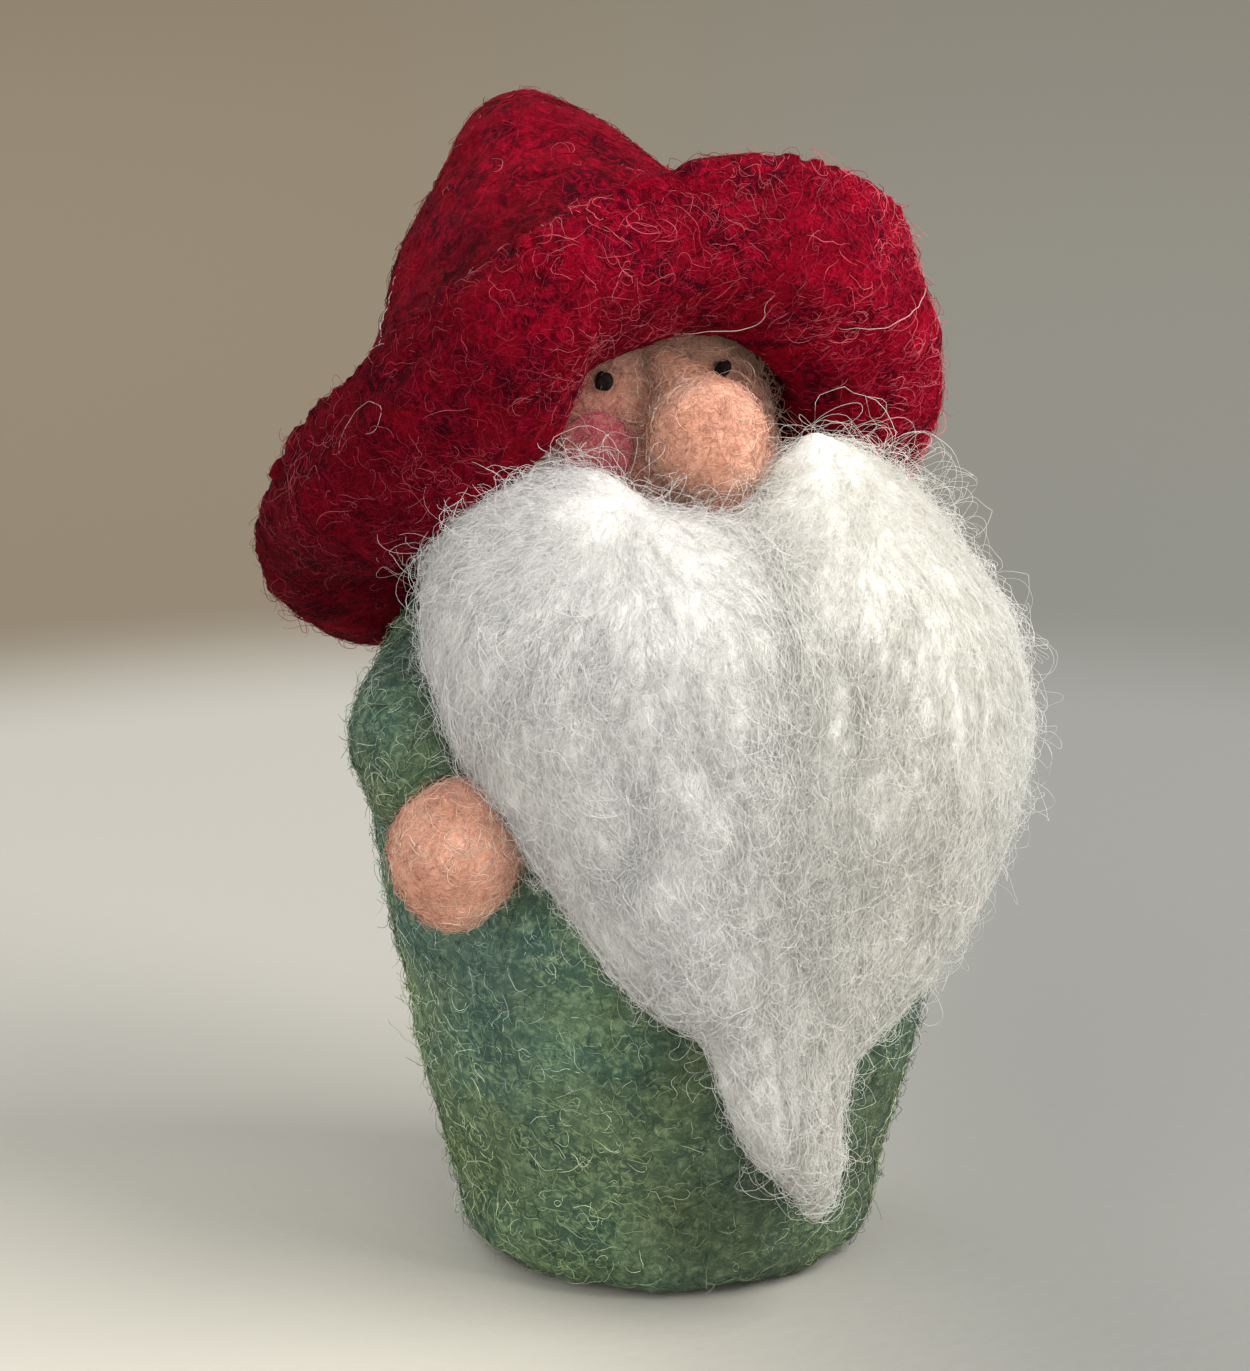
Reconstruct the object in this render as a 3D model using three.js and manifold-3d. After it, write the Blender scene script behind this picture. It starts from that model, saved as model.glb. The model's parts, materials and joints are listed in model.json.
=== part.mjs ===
// A felted wool tomte: a gnome figurine with a wide floppy hat, a long beard and a green coat.
// Millimetres, +Z up. The gnome faces -Y, and its own right arm is on the -X side.
// The origin is the middle of the flat underside that it stands on.

import * as THREE from 'three';
import { ParametricGeometry } from 'three/addons/geometries/ParametricGeometry.js';
import { mergeVertices } from 'three/addons/utils/BufferGeometryUtils.js';
import Module from 'manifold-3d';

const wasm = await Module();
wasm.setup();

// ---- Driving dimensions ----

const gap = 0.3; // air between two pieces of wool that touch

// Coat: a barrel that stands flat, swells to the belly and draws in to the collar.
const baseRadius = 15;
const hipRadius = 19.4;
const hipHeight = 4;
const hipRounding = 0.4; // the hip's turn under starts this far inside its radius
const flankRise = 7; // the flank goes nearly straight up this far above the hip
const flankFlare = 0.6;
const bellyRadius = 24.6;
const bellyHeight = 33;
const bellyBelow = 14; // how far below and above its widest place the belly stays full
const bellyAbove = 15;
const collarRadius = 14.5;
const collarHeight = 61;
const collarFlare = 4.5; // the coat spreads this much in its last stretch below the collar
const collarStretch = 4;
const coatThickness = 3.2;
const neckHeight = 4; // core wool that stands above the collar, inside the head's seat

// The upper body leans back and to the gnome's right, and carries the head with it.
const leanSide = -4;
const leanBack = 7;
const leanStart = 22; // height where the lean begins

// Head and face.
const headRadius = 15;
const headRise = 12.7; // from the collar up to the middle of the head
const skinThickness = 1.5;
const skinBehind = 2; // the face wool ends this far behind the middle of the head
const noseRadius = 5.3;
const noseStandOut = 5.9; // the nose's middle stands this far outside the face
const noseUp = 3.3; // on the face, above the middle of the head
const bridgeRadius = 2.6;
const bridgeUp = 11.6;
const bridgeSunk = 0.6;
const noseFullness = 1.12; // above 1 the nose is fuller than a true ball
const bridgeStart = 0.25; // shares of the nose's length between which it narrows to the bridge
const bridgeEnd = 0.95;
const eyeRadius = 1.1;
const eyeSpread = 5.7; // from the middle of the face to each eye
const eyeUp = 8.6;
const eyeStandOut = 0.45;
const cheekRadius = 3.2;
const cheekDepth = 1.0;
const cheekSpread = 7.2;
const cheekUp = 3.2;

// Arms: a felted sleeve with a ball shoulder, and a mitten hand.
const shoulderRadius = 3.8;
const shoulderDrop = 4; // from the collar down to the shoulder
const shoulderAngle = 76; // round the body from the front
const shoulderSunk = 2.1; // how deep the ball shoulder is pressed into the coat
const cuffRadius = 5.2;
const cuffDrop = 7.5; // from the shoulder down to the middle of the cuff
const cuffAngle = 66;
const cuffStandOut = 0.9; // the cuff's middle stands this share of its radius off the coat
const handRadius = 5.8;
const handLength = 6.8; // half of the mitten's height
const handDrop = 6.1; // from the middle of the cuff down to the middle of the hand
const handAngle = 58;
const handStandOut = 0.94;
const fingerTaper = 0.14; // the fingers' end is slimmer than the wrist by this share
const armSwing = 25; // degrees that an arm bends out from the coat

// Hat: a cone and a wide brim in one felt shell, worn tipped back on the head.
const hatTilt = 34; // degrees back from upright
const hatThickness = 3;
const crownFullness = 2.3; // how far the crown stands out from the band above the brim
const flankHeight = 7; // from the band up to the crown's fullest place
const crownWaist = 0.66; // half way up the crown draws in to this share of the band
const crownBend = 0.55; // at this share of its height
const crownHeight = 33.4; // from the middle of the head to the tip's middle of felt
const tipRadius = 8.1; // how blunt the tip is
const tipSide = 1.6; // the tip falls this far to the gnome's left
const brimWidth = 15.4; // from the band to the brim's edge
const brimSag = 3.6; // how far the brim dips between the band and its edge
const bandSlack = 0.9; // the band stands this much looser behind
const bandStretch = 2.4; // how far the crown's line runs on below the band
const edgeRounding = 0.93; // from this share of the felt's line on, its edge is rounded over
const hatEase = 0.4; // air between the face wool and the hat as it is lifted off

// Beard: combed locks that hang from the cheeks over the coat.
const beardRise = 5.8; // from the middle of the head up to the beard's highest point
const beardLength = 71;

// ---- Helpers ----

const degrees = THREE.MathUtils.degToRad;
const smooth = THREE.MathUtils.smoothstep;

// A solid from any closed three.js geometry.
function solidOf(geometry) {
  geometry.deleteAttribute('normal');
  geometry.deleteAttribute('uv');
  const merged = mergeVertices(geometry, 1e-4);
  const index = merged.index.array;
  const triangles = [];
  for (let i = 0; i < index.length; i += 3) {
    const [a, b, c] = [index[i], index[i + 1], index[i + 2]];
    if (a !== b && b !== c && c !== a) triangles.push(a, b, c);
  }
  const vertProperties = new Float32Array(merged.attributes.position.array);
  const triVerts = new Uint32Array(triangles);
  return new wasm.Manifold(new wasm.Mesh({ numProp: 3, vertProperties, triVerts }));
}

function geometryOf(solid) {
  const mesh = solid.getMesh();
  const geometry = new THREE.BufferGeometry();
  geometry.setAttribute('position', new THREE.BufferAttribute(new Float32Array(mesh.vertProperties), 3));
  geometry.setIndex(new THREE.BufferAttribute(new Uint32Array(mesh.triVerts), 1));
  geometry.computeVertexNormals();
  return geometry;
}

// A closed skin: pointAt(turn, along) goes once round for turn 0..1, and pole to pole for along 0..1.
// A skin that comes out facing inwards is gone round the other way.
function skinOf(pointAt, around, rings) {
  const wound = (way) => solidOf(new ParametricGeometry(
    (turn, along, target) => target.copy(pointAt((way * turn + 1) % 1, along)),
    around,
    rings,
  ));
  const skin = wound(1);
  return skin.volume() > 0 ? skin : wound(-1);
}

function ballAt(centre, radius, across = 24, up = 14) {
  const geometry = new THREE.SphereGeometry(radius, across, up);
  geometry.rotateX(Math.PI / 2);
  geometry.translate(centre.x, centre.y, centre.z);
  return solidOf(geometry);
}

// Round-ended scale: 0 at both poles, 1 over the middle, with rounding over this share of the length.
function roundedEnds(along, share) {
  const fromEnd = Math.min(along, 1 - along) / share;
  return fromEnd >= 1 ? 1 : Math.sqrt(Math.max(0, 1 - (1 - fromEnd) ** 2));
}

// ---- Body ----

const coatOutline = new THREE.CurvePath();
coatOutline.add(new THREE.QuadraticBezierCurve(
  new THREE.Vector2(baseRadius, 0),
  new THREE.Vector2(hipRadius - hipRounding, 0),
  new THREE.Vector2(hipRadius, hipHeight),
));
coatOutline.add(new THREE.CubicBezierCurve(
  new THREE.Vector2(hipRadius, hipHeight),
  new THREE.Vector2(hipRadius + flankFlare, hipHeight + flankRise),
  new THREE.Vector2(bellyRadius, bellyHeight - bellyBelow),
  new THREE.Vector2(bellyRadius, bellyHeight),
));
coatOutline.add(new THREE.CubicBezierCurve(
  new THREE.Vector2(bellyRadius, bellyHeight),
  new THREE.Vector2(bellyRadius, bellyHeight + bellyAbove),
  new THREE.Vector2(collarRadius + collarFlare, collarHeight - collarStretch),
  new THREE.Vector2(collarRadius, collarHeight),
));
const coatPoints = coatOutline.getPoints(5);

// The coat's outer radius at a height.
function coatRadius(height) {
  const above = coatPoints.findIndex((point) => point.y > height);
  if (above < 0) return collarRadius;
  const low = coatPoints[Math.max(above - 1, 0)];
  const high = coatPoints[above];
  const share = THREE.MathUtils.clamp((height - low.y) / (high.y - low.y || 1), 0, 1);
  return THREE.MathUtils.lerp(low.x, high.x, share);
}

// How far the body's middle has leaned over at a height.
function leanAt(height) {
  const share = smooth(height, leanStart, collarHeight);
  return new THREE.Vector3(leanSide * share, leanBack * share, height);
}

// A point round the body: angle 0 is the front, and it grows towards the gnome's left.
function roundBody(angle, height, radius) {
  const turn = degrees(angle);
  return leanAt(height).add(new THREE.Vector3(radius * Math.sin(turn), -radius * Math.cos(turn), 0));
}

const headCentre = new THREE.Vector3(leanSide, leanBack, collarHeight + headRise);
const skinRadius = headRadius + gap + skinThickness;

// A ball round the middle of the head.
function headBall(radius) {
  return ballAt(headCentre, radius, 24, 14);
}

// A turned body with the lean put in. outline runs from the lowest height to the highest.
function turnedBody(outline) {
  const low = outline[0].y;
  const high = outline[outline.length - 1].y;
  const profile = [new THREE.Vector2(0, low), ...outline, new THREE.Vector2(0, high)];
  const geometry = new THREE.LatheGeometry(profile, 26);
  geometry.rotateX(Math.PI / 2);
  const position = geometry.attributes.position;
  for (let i = 0; i < position.count; i += 1) {
    const lean = leanAt(position.getZ(i));
    position.setXY(i, position.getX(i) + lean.x, position.getY(i) + lean.y);
  }
  return solidOf(geometry);
}

// The wool core inside the coat, swollen by extra.
function coreBody(extra = 0) {
  const floor = coatThickness + gap - extra;
  const inset = coatThickness + gap - extra;
  const outline = coatPoints
    .filter((point) => point.y > floor + 0.5)
    .map((point) => new THREE.Vector2(point.x - inset, point.y));
  outline.unshift(new THREE.Vector2(coatRadius(floor) - inset - 1, floor));
  outline.push(new THREE.Vector2(collarRadius - inset, collarHeight + neckHeight));
  return turnedBody(outline);
}

const seatForHead = headBall(skinRadius + gap);

function makeBodyCore() {
  return coreBody()
    .subtract(seatForHead)
    .subtract(shoulderBall(-1, gap))
    .subtract(shoulderBall(1, gap));
}

function makeCoat() {
  return turnedBody(coatPoints)
    .subtract(coreBody(gap))
    .subtract(seatForHead)
    .subtract(shoulderBall(-1, gap))
    .subtract(shoulderBall(1, gap));
}

// The room that the coat takes up, with the gap that its neighbours keep from it.
const coatRoom = turnedBody(coatPoints.map((point) => new THREE.Vector2(point.x + gap, point.y)));

// ---- Head and face ----

function makeHeadCore() {
  return headBall(headRadius);
}

// A bowl of skin-coloured wool over the front of the head.
function makeFaceSkin() {
  const behind = new THREE.BoxGeometry(4 * skinRadius, 4 * skinRadius, 4 * skinRadius);
  behind.translate(headCentre.x, headCentre.y + skinBehind + 2 * skinRadius, headCentre.z);
  return headBall(skinRadius)
    .subtract(headBall(headRadius + gap))
    .subtract(solidOf(behind));
}

// A place on the face: side and up from the middle of the head, out past the skin.
function onFace(side, up, out = 0) {
  const depth = Math.sqrt(skinRadius ** 2 - side ** 2 - up ** 2);
  const direction = new THREE.Vector3(side, -depth, up).normalize();
  return direction.multiplyScalar(skinRadius + out).add(headCentre);
}

// A ball with a bridge that runs up and back between the eyes.
function noseBody(extra = 0) {
  const ball = onFace(0, noseUp, noseStandOut);
  const bridge = onFace(0, bridgeUp, -bridgeSunk);
  const reach = ball.distanceTo(bridge);
  const direction = bridge.clone().sub(ball).normalize();
  const forward = new THREE.Vector3(0, -1, 0).cross(direction).cross(direction).negate().normalize();
  const side = direction.clone().cross(forward);
  const pointAt = (turn, along) => {
    const polar = Math.PI * along;
    const share = (1 - Math.cos(polar)) / 2; // 0 at the nose's lower end, 1 at the bridge's end
    const narrowing = smooth(share, bridgeStart, bridgeEnd);
    const radius = THREE.MathUtils.lerp(noseRadius, bridgeRadius, narrowing) + extra;
    const length = reach + noseRadius + bridgeRadius + 2 * extra;
    const onAxis = length * share - noseRadius - extra;
    const spread = radius * Math.min(1, Math.sin(polar) * noseFullness);
    const angle = 2 * Math.PI * turn;
    return ball.clone()
      .addScaledVector(direction, onAxis)
      .addScaledVector(forward, spread * Math.cos(angle))
      .addScaledVector(side, spread * Math.sin(angle));
  };
  return skinOf(pointAt, 14, 10);
}

function makeNose() {
  return noseBody().subtract(headBall(skinRadius + gap));
}

function makeEye(side) {
  const eye = ballAt(onFace(side * eyeSpread, eyeUp, eyeStandOut), eyeRadius, 12, 8);
  return eye.subtract(headBall(skinRadius + gap)).subtract(noseBody(gap));
}

// A thin round patch of pink wool on the face.
function makeCheek(side) {
  const middle = onFace(side * cheekSpread, cheekUp);
  const geometry = new THREE.SphereGeometry(1, 14, 8);
  geometry.scale(cheekRadius, cheekRadius, cheekDepth);
  const outwards = middle.clone().sub(headCentre).normalize();
  geometry.applyQuaternion(new THREE.Quaternion().setFromUnitVectors(new THREE.Vector3(0, 0, 1), outwards));
  geometry.translate(middle.x, middle.y, middle.z);
  return solidOf(geometry)
    .subtract(headBall(skinRadius + gap))
    .subtract(noseBody(gap));
}

// ---- Arms ----

const shoulderHeight = collarHeight - shoulderDrop;
const cuffHeight = shoulderHeight - cuffDrop;
const handHeight = cuffHeight - handDrop;

function shoulderPoint(side) {
  const radius = coatRadius(shoulderHeight) + shoulderRadius - shoulderSunk;
  return roundBody(side * shoulderAngle, shoulderHeight, radius);
}

function shoulderBall(side, extra = 0) {
  return ballAt(shoulderPoint(side), shoulderRadius + extra, 14, 8);
}

// The sleeve widens from the ball shoulder, out over the side of the coat, to the cuff.
function sleeveBody(side, extra = 0) {
  const shoulder = shoulderPoint(side);
  const cuffReach = coatRadius(cuffHeight) + gap + cuffRadius * cuffStandOut;
  const cuff = roundBody(side * cuffAngle, cuffHeight, cuffReach);
  const elbow = roundBody(
    side * (shoulderAngle + cuffAngle) / 2,
    (shoulderHeight + cuffHeight) / 2,
    coatRadius(cuffHeight) + cuffRadius,
  );
  const path = new THREE.QuadraticBezierCurve3(shoulder, elbow, cuff);
  const length = path.getLength();
  const start = shoulderRadius + extra;
  const end = cuffRadius + extra;
  const pointAt = (turn, along) => {
    const distance = along * (start + length + end) - start;
    const share = THREE.MathUtils.clamp(distance / length, 0, 1);
    const over = distance - share * length; // past the path's end, in the rounding
    const reach = THREE.MathUtils.lerp(start, end, smooth(share, 0, 0.8));
    const radius = Math.sqrt(Math.max(0, reach ** 2 - over ** 2));
    const tangent = path.getTangent(share);
    const across = new THREE.Vector3(0, -1, 0).cross(tangent).normalize();
    const front = tangent.clone().cross(across);
    const angle = 2 * Math.PI * turn;
    return path.getPoint(share)
      .addScaledVector(tangent, over)
      .addScaledVector(across, radius * Math.cos(angle))
      .addScaledVector(front, radius * Math.sin(angle));
  };
  return skinOf(pointAt, 14, 10);
}

// The sleeve keeps off the coat, and its ball sits in the coat's socket.
function makeSleeve(side) {
  return sleeveBody(side).subtract(coatRoom).add(shoulderBall(side));
}

function handBody(side, extra = 0) {
  const reach = coatRadius(handHeight) + gap + handRadius * handStandOut;
  const middle = roundBody(side * handAngle, handHeight, reach);
  const geometry = new THREE.SphereGeometry(1, 16, 10);
  geometry.rotateX(Math.PI / 2);
  const position = geometry.attributes.position;
  for (let i = 0; i < position.count; i += 1) {
    const height = position.getZ(i);
    const narrow = 1 - fingerTaper * smooth(-height, 0, 1);
    position.setX(i, position.getX(i) * (handRadius + extra) * narrow);
    position.setY(i, position.getY(i) * (handRadius + extra) * narrow);
    position.setZ(i, height * (handLength + extra));
  }
  geometry.translate(middle.x, middle.y, middle.z);
  return solidOf(geometry);
}

function makeHand(side) {
  return handBody(side).subtract(sleeveBody(side, gap)).subtract(coatRoom);
}

// The room that an arm takes up from rest to its swung-out place.
function armRoom(side) {
  const arm = sleeveBody(side, gap).add(handBody(side, gap));
  const pivot = shoulderPoint(side);
  const swung = [0, 0.2, 0.4, 0.7, 1].map((share) => {
    const turn = new THREE.Matrix4().makeRotationY(degrees(-side * armSwing * share));
    const place = new THREE.Matrix4().makeTranslation(pivot)
      .multiply(turn)
      .multiply(new THREE.Matrix4().makeTranslation(pivot.clone().negate()));
    return arm.transform(place.elements);
  });
  return swung.reduce((room, step) => room.add(step));
}

// ---- Hat ----

// The hat's own frame: its origin is the middle of the head, and its Z is the way it lifts off.
const hatFrame = new THREE.Matrix4()
  .makeRotationX(degrees(-hatTilt))
  .setPosition(headCentre);

// The brim's edge round the hat: angle from the front, extra radius and height.
// It is turned up in front, falls away at the gnome's left and hangs down behind.
const brimEdge = [
  [0, 0.6, 11.6], [45, -0.8, 9], [66, -3.6, 4.6], [88, -3.2, -1.8], [130, -2, -3],
  [180, -0.2, -4.8], [221, -1, -3.2], [250, -3, 0], [285, -4, 3.4], [318, -3.4, 7.2], [360, 0.6, 11.6],
];
// The band where the crown turns out into the brim: angle and height.
const band = [
  [0, 4.6], [45, -0.4], [75, -4], [120, -3.4], [180, -1],
  [240, -3.4], [285, -4], [315, -0.6], [360, 4.6],
];
const bandRadius = skinRadius + hatEase + hatThickness / 2;

// A closed curve through rows whose first value is the angle.
function byAngle(rows) {
  const wrapped = [
    [rows.at(-2)[0] - 360, ...rows.at(-2).slice(1)],
    ...rows,
    [rows[1][0] + 360, ...rows[1].slice(1)],
  ];
  const angles = wrapped.map((row) => row[0]);
  const values = wrapped.flatMap((row) => row.slice(1));
  return new THREE.CubicInterpolant(angles, values, rows[0].length - 1);
}
const edgeByAngle = byAngle(brimEdge);
const bandByAngle = byAngle(band);

// The middle of the felt at one angle, from the tip to the brim's edge, as radius and height.
function feltLine(angle) {
  const [bandHeight] = bandByAngle.evaluate(angle);
  const [extraRadius, edgeHeight] = edgeByAngle.evaluate(angle);
  const backWards = smooth(-Math.cos(degrees(angle)), 0.2, 1);
  const waist = new THREE.Vector2(bandRadius + bandSlack * backWards, bandHeight);
  const flank = new THREE.Vector2(bandRadius + crownFullness, bandHeight + flankHeight);
  const edge = new THREE.Vector2(bandRadius + brimWidth + extraRadius, edgeHeight);
  const line = new THREE.CurvePath();
  line.add(new THREE.CubicBezierCurve(
    new THREE.Vector2(0, crownHeight),
    new THREE.Vector2(tipRadius, crownHeight),
    new THREE.Vector2(bandRadius * crownWaist, crownHeight * crownBend),
    flank,
  ));
  line.add(new THREE.QuadraticBezierCurve(
    flank,
    new THREE.Vector2(bandRadius + 0.8 * crownFullness, bandHeight + 3),
    waist,
  ));
  line.add(new THREE.CubicBezierCurve(
    waist,
    new THREE.Vector2(waist.x + 0.5, bandHeight - bandStretch),
    new THREE.Vector2(waist.x + brimWidth * 0.6, (bandHeight + edgeHeight) / 2 - brimSag),
    edge,
  ));
  return line;
}

// One shell: out over the crown and brim, round the edge, and back along the inside.
function hatBody(extra = 0) {
  const around = 36;
  const lines = Array.from({ length: around }, (_, i) => feltLine(i / around * 360));
  const pointAt = (turn, along) => {
    const line = lines[Math.round(turn * around) % around];
    const outside = along <= 0.5;
    const share = outside ? 2 * along : 2 - 2 * along;
    const middle = line.getPoint(share);
    const next = line.getPoint(Math.min(1, share + 0.01));
    const before = line.getPoint(Math.max(0, share - 0.01));
    const tangent = next.sub(before).normalize();
    const normal = new THREE.Vector2(-tangent.y, tangent.x);
    if (share < 0.001) normal.set(0, 1);
    const round = 1 - smooth(share, edgeRounding, 1) ** 2;
    const half = (hatThickness / 2 + extra) * Math.sqrt(Math.max(0, round)) * (outside ? 1 : -1);
    const radius = Math.max(0, middle.x + normal.x * half);
    const height = middle.y + normal.y * half;
    const angle = 2 * Math.PI * turn;
    const fall = tipSide * smooth(height, flankHeight + 1, crownHeight);
    return new THREE.Vector3(radius * Math.sin(angle) + fall, -radius * Math.cos(angle), height)
      .applyMatrix4(hatFrame);
  };
  return skinOf(pointAt, around, 28);
}

// What the hat passes as it is lifted off: the head and face, drawn out backwards along its way.
function liftPath() {
  const reach = 3 * headRadius;
  const geometry = new THREE.CapsuleGeometry(skinRadius + hatEase, reach, 8, 24);
  geometry.rotateX(Math.PI / 2);
  geometry.translate(0, 0, -reach / 2);
  geometry.applyMatrix4(hatFrame);
  return solidOf(geometry);
}

function makeHat() {
  return hatBody().subtract(liftPath()).subtract(coatRoom);
}

// ---- Beard ----

const beardTop = headCentre.z + beardRise;
const beardTurn = 0.35; // down to this share of its length the beard leaves the face for the belly

// A lock of combed wool. Each row is a share of the beard's length, the angle of the lock's middle
// round the belly, half its width as an angle, how far its middle stands out, and half its depth.
function lockBody(rows, extra = 0) {
  const steps = rows.map((_, i) => i / (rows.length - 1));
  const lock = new THREE.CubicInterpolant(steps, rows.flat(), rows[0].length);
  const pointAt = (turn, along) => {
    const [share, angle, halfAngle, out, depth] = lock.evaluate(along);
    const backing = THREE.MathUtils.lerp(skinRadius, bellyRadius, smooth(share, 0, beardTurn));
    const radius = backing + out;
    const cap = roundedEnds(along, 0.1);
    const spread = (halfAngle + THREE.MathUtils.radToDeg(extra / radius)) * cap;
    const thick = (depth + extra) * cap;
    const around = 2 * Math.PI * turn;
    const where = degrees(angle + spread * Math.cos(around));
    const reach = radius + thick * Math.sin(around);
    const height = beardTop - share * beardLength + extra * (1 - 2 * along);
    return new THREE.Vector3(reach * Math.sin(where), -reach * Math.cos(where), height);
  };
  return skinOf(pointAt, 18, 14);
}

const rightLock = [
  [0.035, -48, 24, 2, 2.6], [0.106, -46, 41, 3.2, 5], [0.204, -41, 44, 3.2, 6.4], [0.331, -38, 43, 1.8, 6.2],
  [0.458, -29, 33, 1.8, 5.4], [0.613, -22, 22, 1.2, 4], [0.74, -15, 10, 0.6, 2.6],
];
const leftLock = [
  [0, 19, 10, 0.8, 2.6], [0.106, 20, 31, 2.4, 5.6], [0.246, 24, 35, 3.4, 6.6], [0.401, 25, 36, 3.6, 6.4],
  [0.57, 23, 32, 2.6, 5.6], [0.697, 17, 24, 1.4, 4.2], [0.782, 11, 13, 0.6, 2.6],
];
const tailLock = [
  [0.529, -3, 14, 1, 1.6], [0.642, -2, 20, 1.2, 2.6], [0.755, -1, 21, 1.2, 3], [0.839, -2, 15, 0.8, 3],
  [0.924, 2, 8, 0.2, 2.4], [1, 3, 2.4, -0.6, 1],
];

function keepOffFromBeard() {
  return [
    coatRoom,
    headBall(skinRadius + cheekDepth + gap),
    noseBody(gap),
    hatBody(hatEase),
    armRoom(-1),
    armRoom(1),
  ];
}

function makeBeard() {
  const others = keepOffFromBeard();
  const clearOf = (lock, ...more) => [...others, ...more].reduce((left, cut) => left.subtract(cut), lock);
  return {
    beard_tail: clearOf(lockBody(tailLock)),
    beard_lock_right: clearOf(lockBody(rightLock), lockBody(tailLock, gap)),
    beard_lock_left: clearOf(lockBody(leftLock), lockBody(tailLock, gap), lockBody(rightLock, gap)),
  };
}

// ---- The figurine ----

const wool = (color, roughness = 0.95) => new THREE.MeshStandardMaterial({ color, roughness, metalness: 0 });
const coreWool = wool(0xd9d3c4);
const coatWool = wool(0x4f7a5a);
const skinWool = wool(0xe0a184);
const cheekWool = wool(0xc9667a);
const eyeWool = wool(0x1a1414);
const beardWool = wool(0xe9e8e2);
const hatFelt = wool(0x8e1124);

const tomte = new THREE.Group();
const beard = makeBeard();

function addPiece(name, solid, material) {
  const mesh = new THREE.Mesh(geometryOf(solid), material);
  mesh.name = name;
  tomte.add(mesh);
}

addPiece('body_core', makeBodyCore(), coreWool);
addPiece('coat', makeCoat(), coatWool);
addPiece('head_core', makeHeadCore(), coreWool);
addPiece('face_skin', makeFaceSkin(), skinWool);
addPiece('nose', makeNose(), skinWool);
for (const [hand, side] of [['right', -1], ['left', 1]]) {
  addPiece(`eye_${hand}`, makeEye(side), eyeWool);
  addPiece(`cheek_${hand}`, makeCheek(side), cheekWool);
  addPiece(`sleeve_${hand}`, makeSleeve(side), coatWool);
  addPiece(`hand_${hand}`, makeHand(side), skinWool);
}
for (const [name, solid] of Object.entries(beard)) {
  addPiece(name, solid, beardWool);
}
addPiece('hat', makeHat(), hatFelt);

export default tomte;
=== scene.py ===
# %% [markdown]
# # A needle-felted tomte
# This lesson dresses a small wool gnome. The solid model underneath gives every piece its place and
# its way of moving. Here each piece gets what makes felt look like felt: a slightly lumpy skin,
# colours that are mixed in the wool, and thousands of real, separate fibres.
# Lengths in this lesson are in millimetres until a mesh is made, and then they become metres.

# %% Load the solid model
import itertools
import json
import math
import bpy
import numpy as np
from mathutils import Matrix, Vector
from mathutils.bvhtree import BVHTree

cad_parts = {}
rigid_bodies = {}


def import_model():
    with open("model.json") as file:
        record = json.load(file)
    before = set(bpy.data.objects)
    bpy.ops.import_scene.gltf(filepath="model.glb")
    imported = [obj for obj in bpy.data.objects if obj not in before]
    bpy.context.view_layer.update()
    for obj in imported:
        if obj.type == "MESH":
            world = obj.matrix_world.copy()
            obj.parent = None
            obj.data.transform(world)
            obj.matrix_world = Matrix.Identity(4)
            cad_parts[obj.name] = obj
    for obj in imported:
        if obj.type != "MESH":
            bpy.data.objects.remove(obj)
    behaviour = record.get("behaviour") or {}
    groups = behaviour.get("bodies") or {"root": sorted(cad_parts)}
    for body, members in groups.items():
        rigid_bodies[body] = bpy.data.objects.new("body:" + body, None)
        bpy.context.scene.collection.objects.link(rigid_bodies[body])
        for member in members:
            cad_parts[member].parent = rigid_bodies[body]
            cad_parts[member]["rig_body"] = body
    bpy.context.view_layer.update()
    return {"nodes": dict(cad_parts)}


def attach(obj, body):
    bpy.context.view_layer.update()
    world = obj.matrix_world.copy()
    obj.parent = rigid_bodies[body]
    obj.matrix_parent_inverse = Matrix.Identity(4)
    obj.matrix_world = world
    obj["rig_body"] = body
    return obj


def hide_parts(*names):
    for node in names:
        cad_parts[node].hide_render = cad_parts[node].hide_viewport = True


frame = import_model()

MM = 0.001
nodes = frame["nodes"]
print("pieces of the solid model:", ", ".join(sorted(nodes)))

# %% [markdown]
# ## The camera
# The figurine is looked at from a little above and from its own right side. A long lens keeps its
# proportions calm, as when one leans back to look at a small thing.

# %% Camera
camera_turn = math.radians(-28)
camera_rise = math.radians(15)
camera_distance = 420 * MM
looked_at = Vector((-3.36, 1.78, 52.3)) * MM
away = Vector((
    math.sin(camera_turn) * math.cos(camera_rise),
    -math.cos(camera_turn) * math.cos(camera_rise),
    math.sin(camera_rise),
))
lens = bpy.data.cameras.new("camera")
lens.sensor_fit = "HORIZONTAL"
lens.sensor_width = 36
lens.lens = 133.06
lens.clip_start = 0.01
camera = bpy.data.objects.new("camera", lens)
camera.location = looked_at + away * camera_distance
camera.rotation_euler = away.to_track_quat("Z", "Y").to_euler()
bpy.context.scene.collection.objects.link(camera)
bpy.context.scene.camera = camera
bpy.context.scene.view_settings.view_transform = "Standard"
print("camera at", [round(x, 3) for x in camera.location])

# %% [markdown]
# ## Lumps without a pattern
# Felt is never quite even: the needle leaves soft lumps and dents. A table of random numbers, read
# smoothly between its cells, gives lumps of any size. The numbers come from a seed, so the figurine
# comes out the same every time.

# %% Soft random lumps
def lumps(points, size, seed):
    """Smooth random values from -1 to 1 at these points, in lumps about this many mm across."""
    table = np.random.default_rng(seed).uniform(-1, 1, 4096)
    at = np.asarray(points) / size
    cell = np.floor(at).astype(np.int64)
    part = at - cell
    part = part * part * (3 - 2 * part)
    total = np.zeros(len(at))
    for corner in itertools.product((0, 1), repeat=3):
        x, y, z = (cell + corner).T
        key = (x * 73856093 ^ y * 19349663 ^ z * 83492791) & 4095
        weight = np.prod(np.where(corner, part, 1 - part), axis=1)
        total += table[key] * weight
    return total


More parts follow.
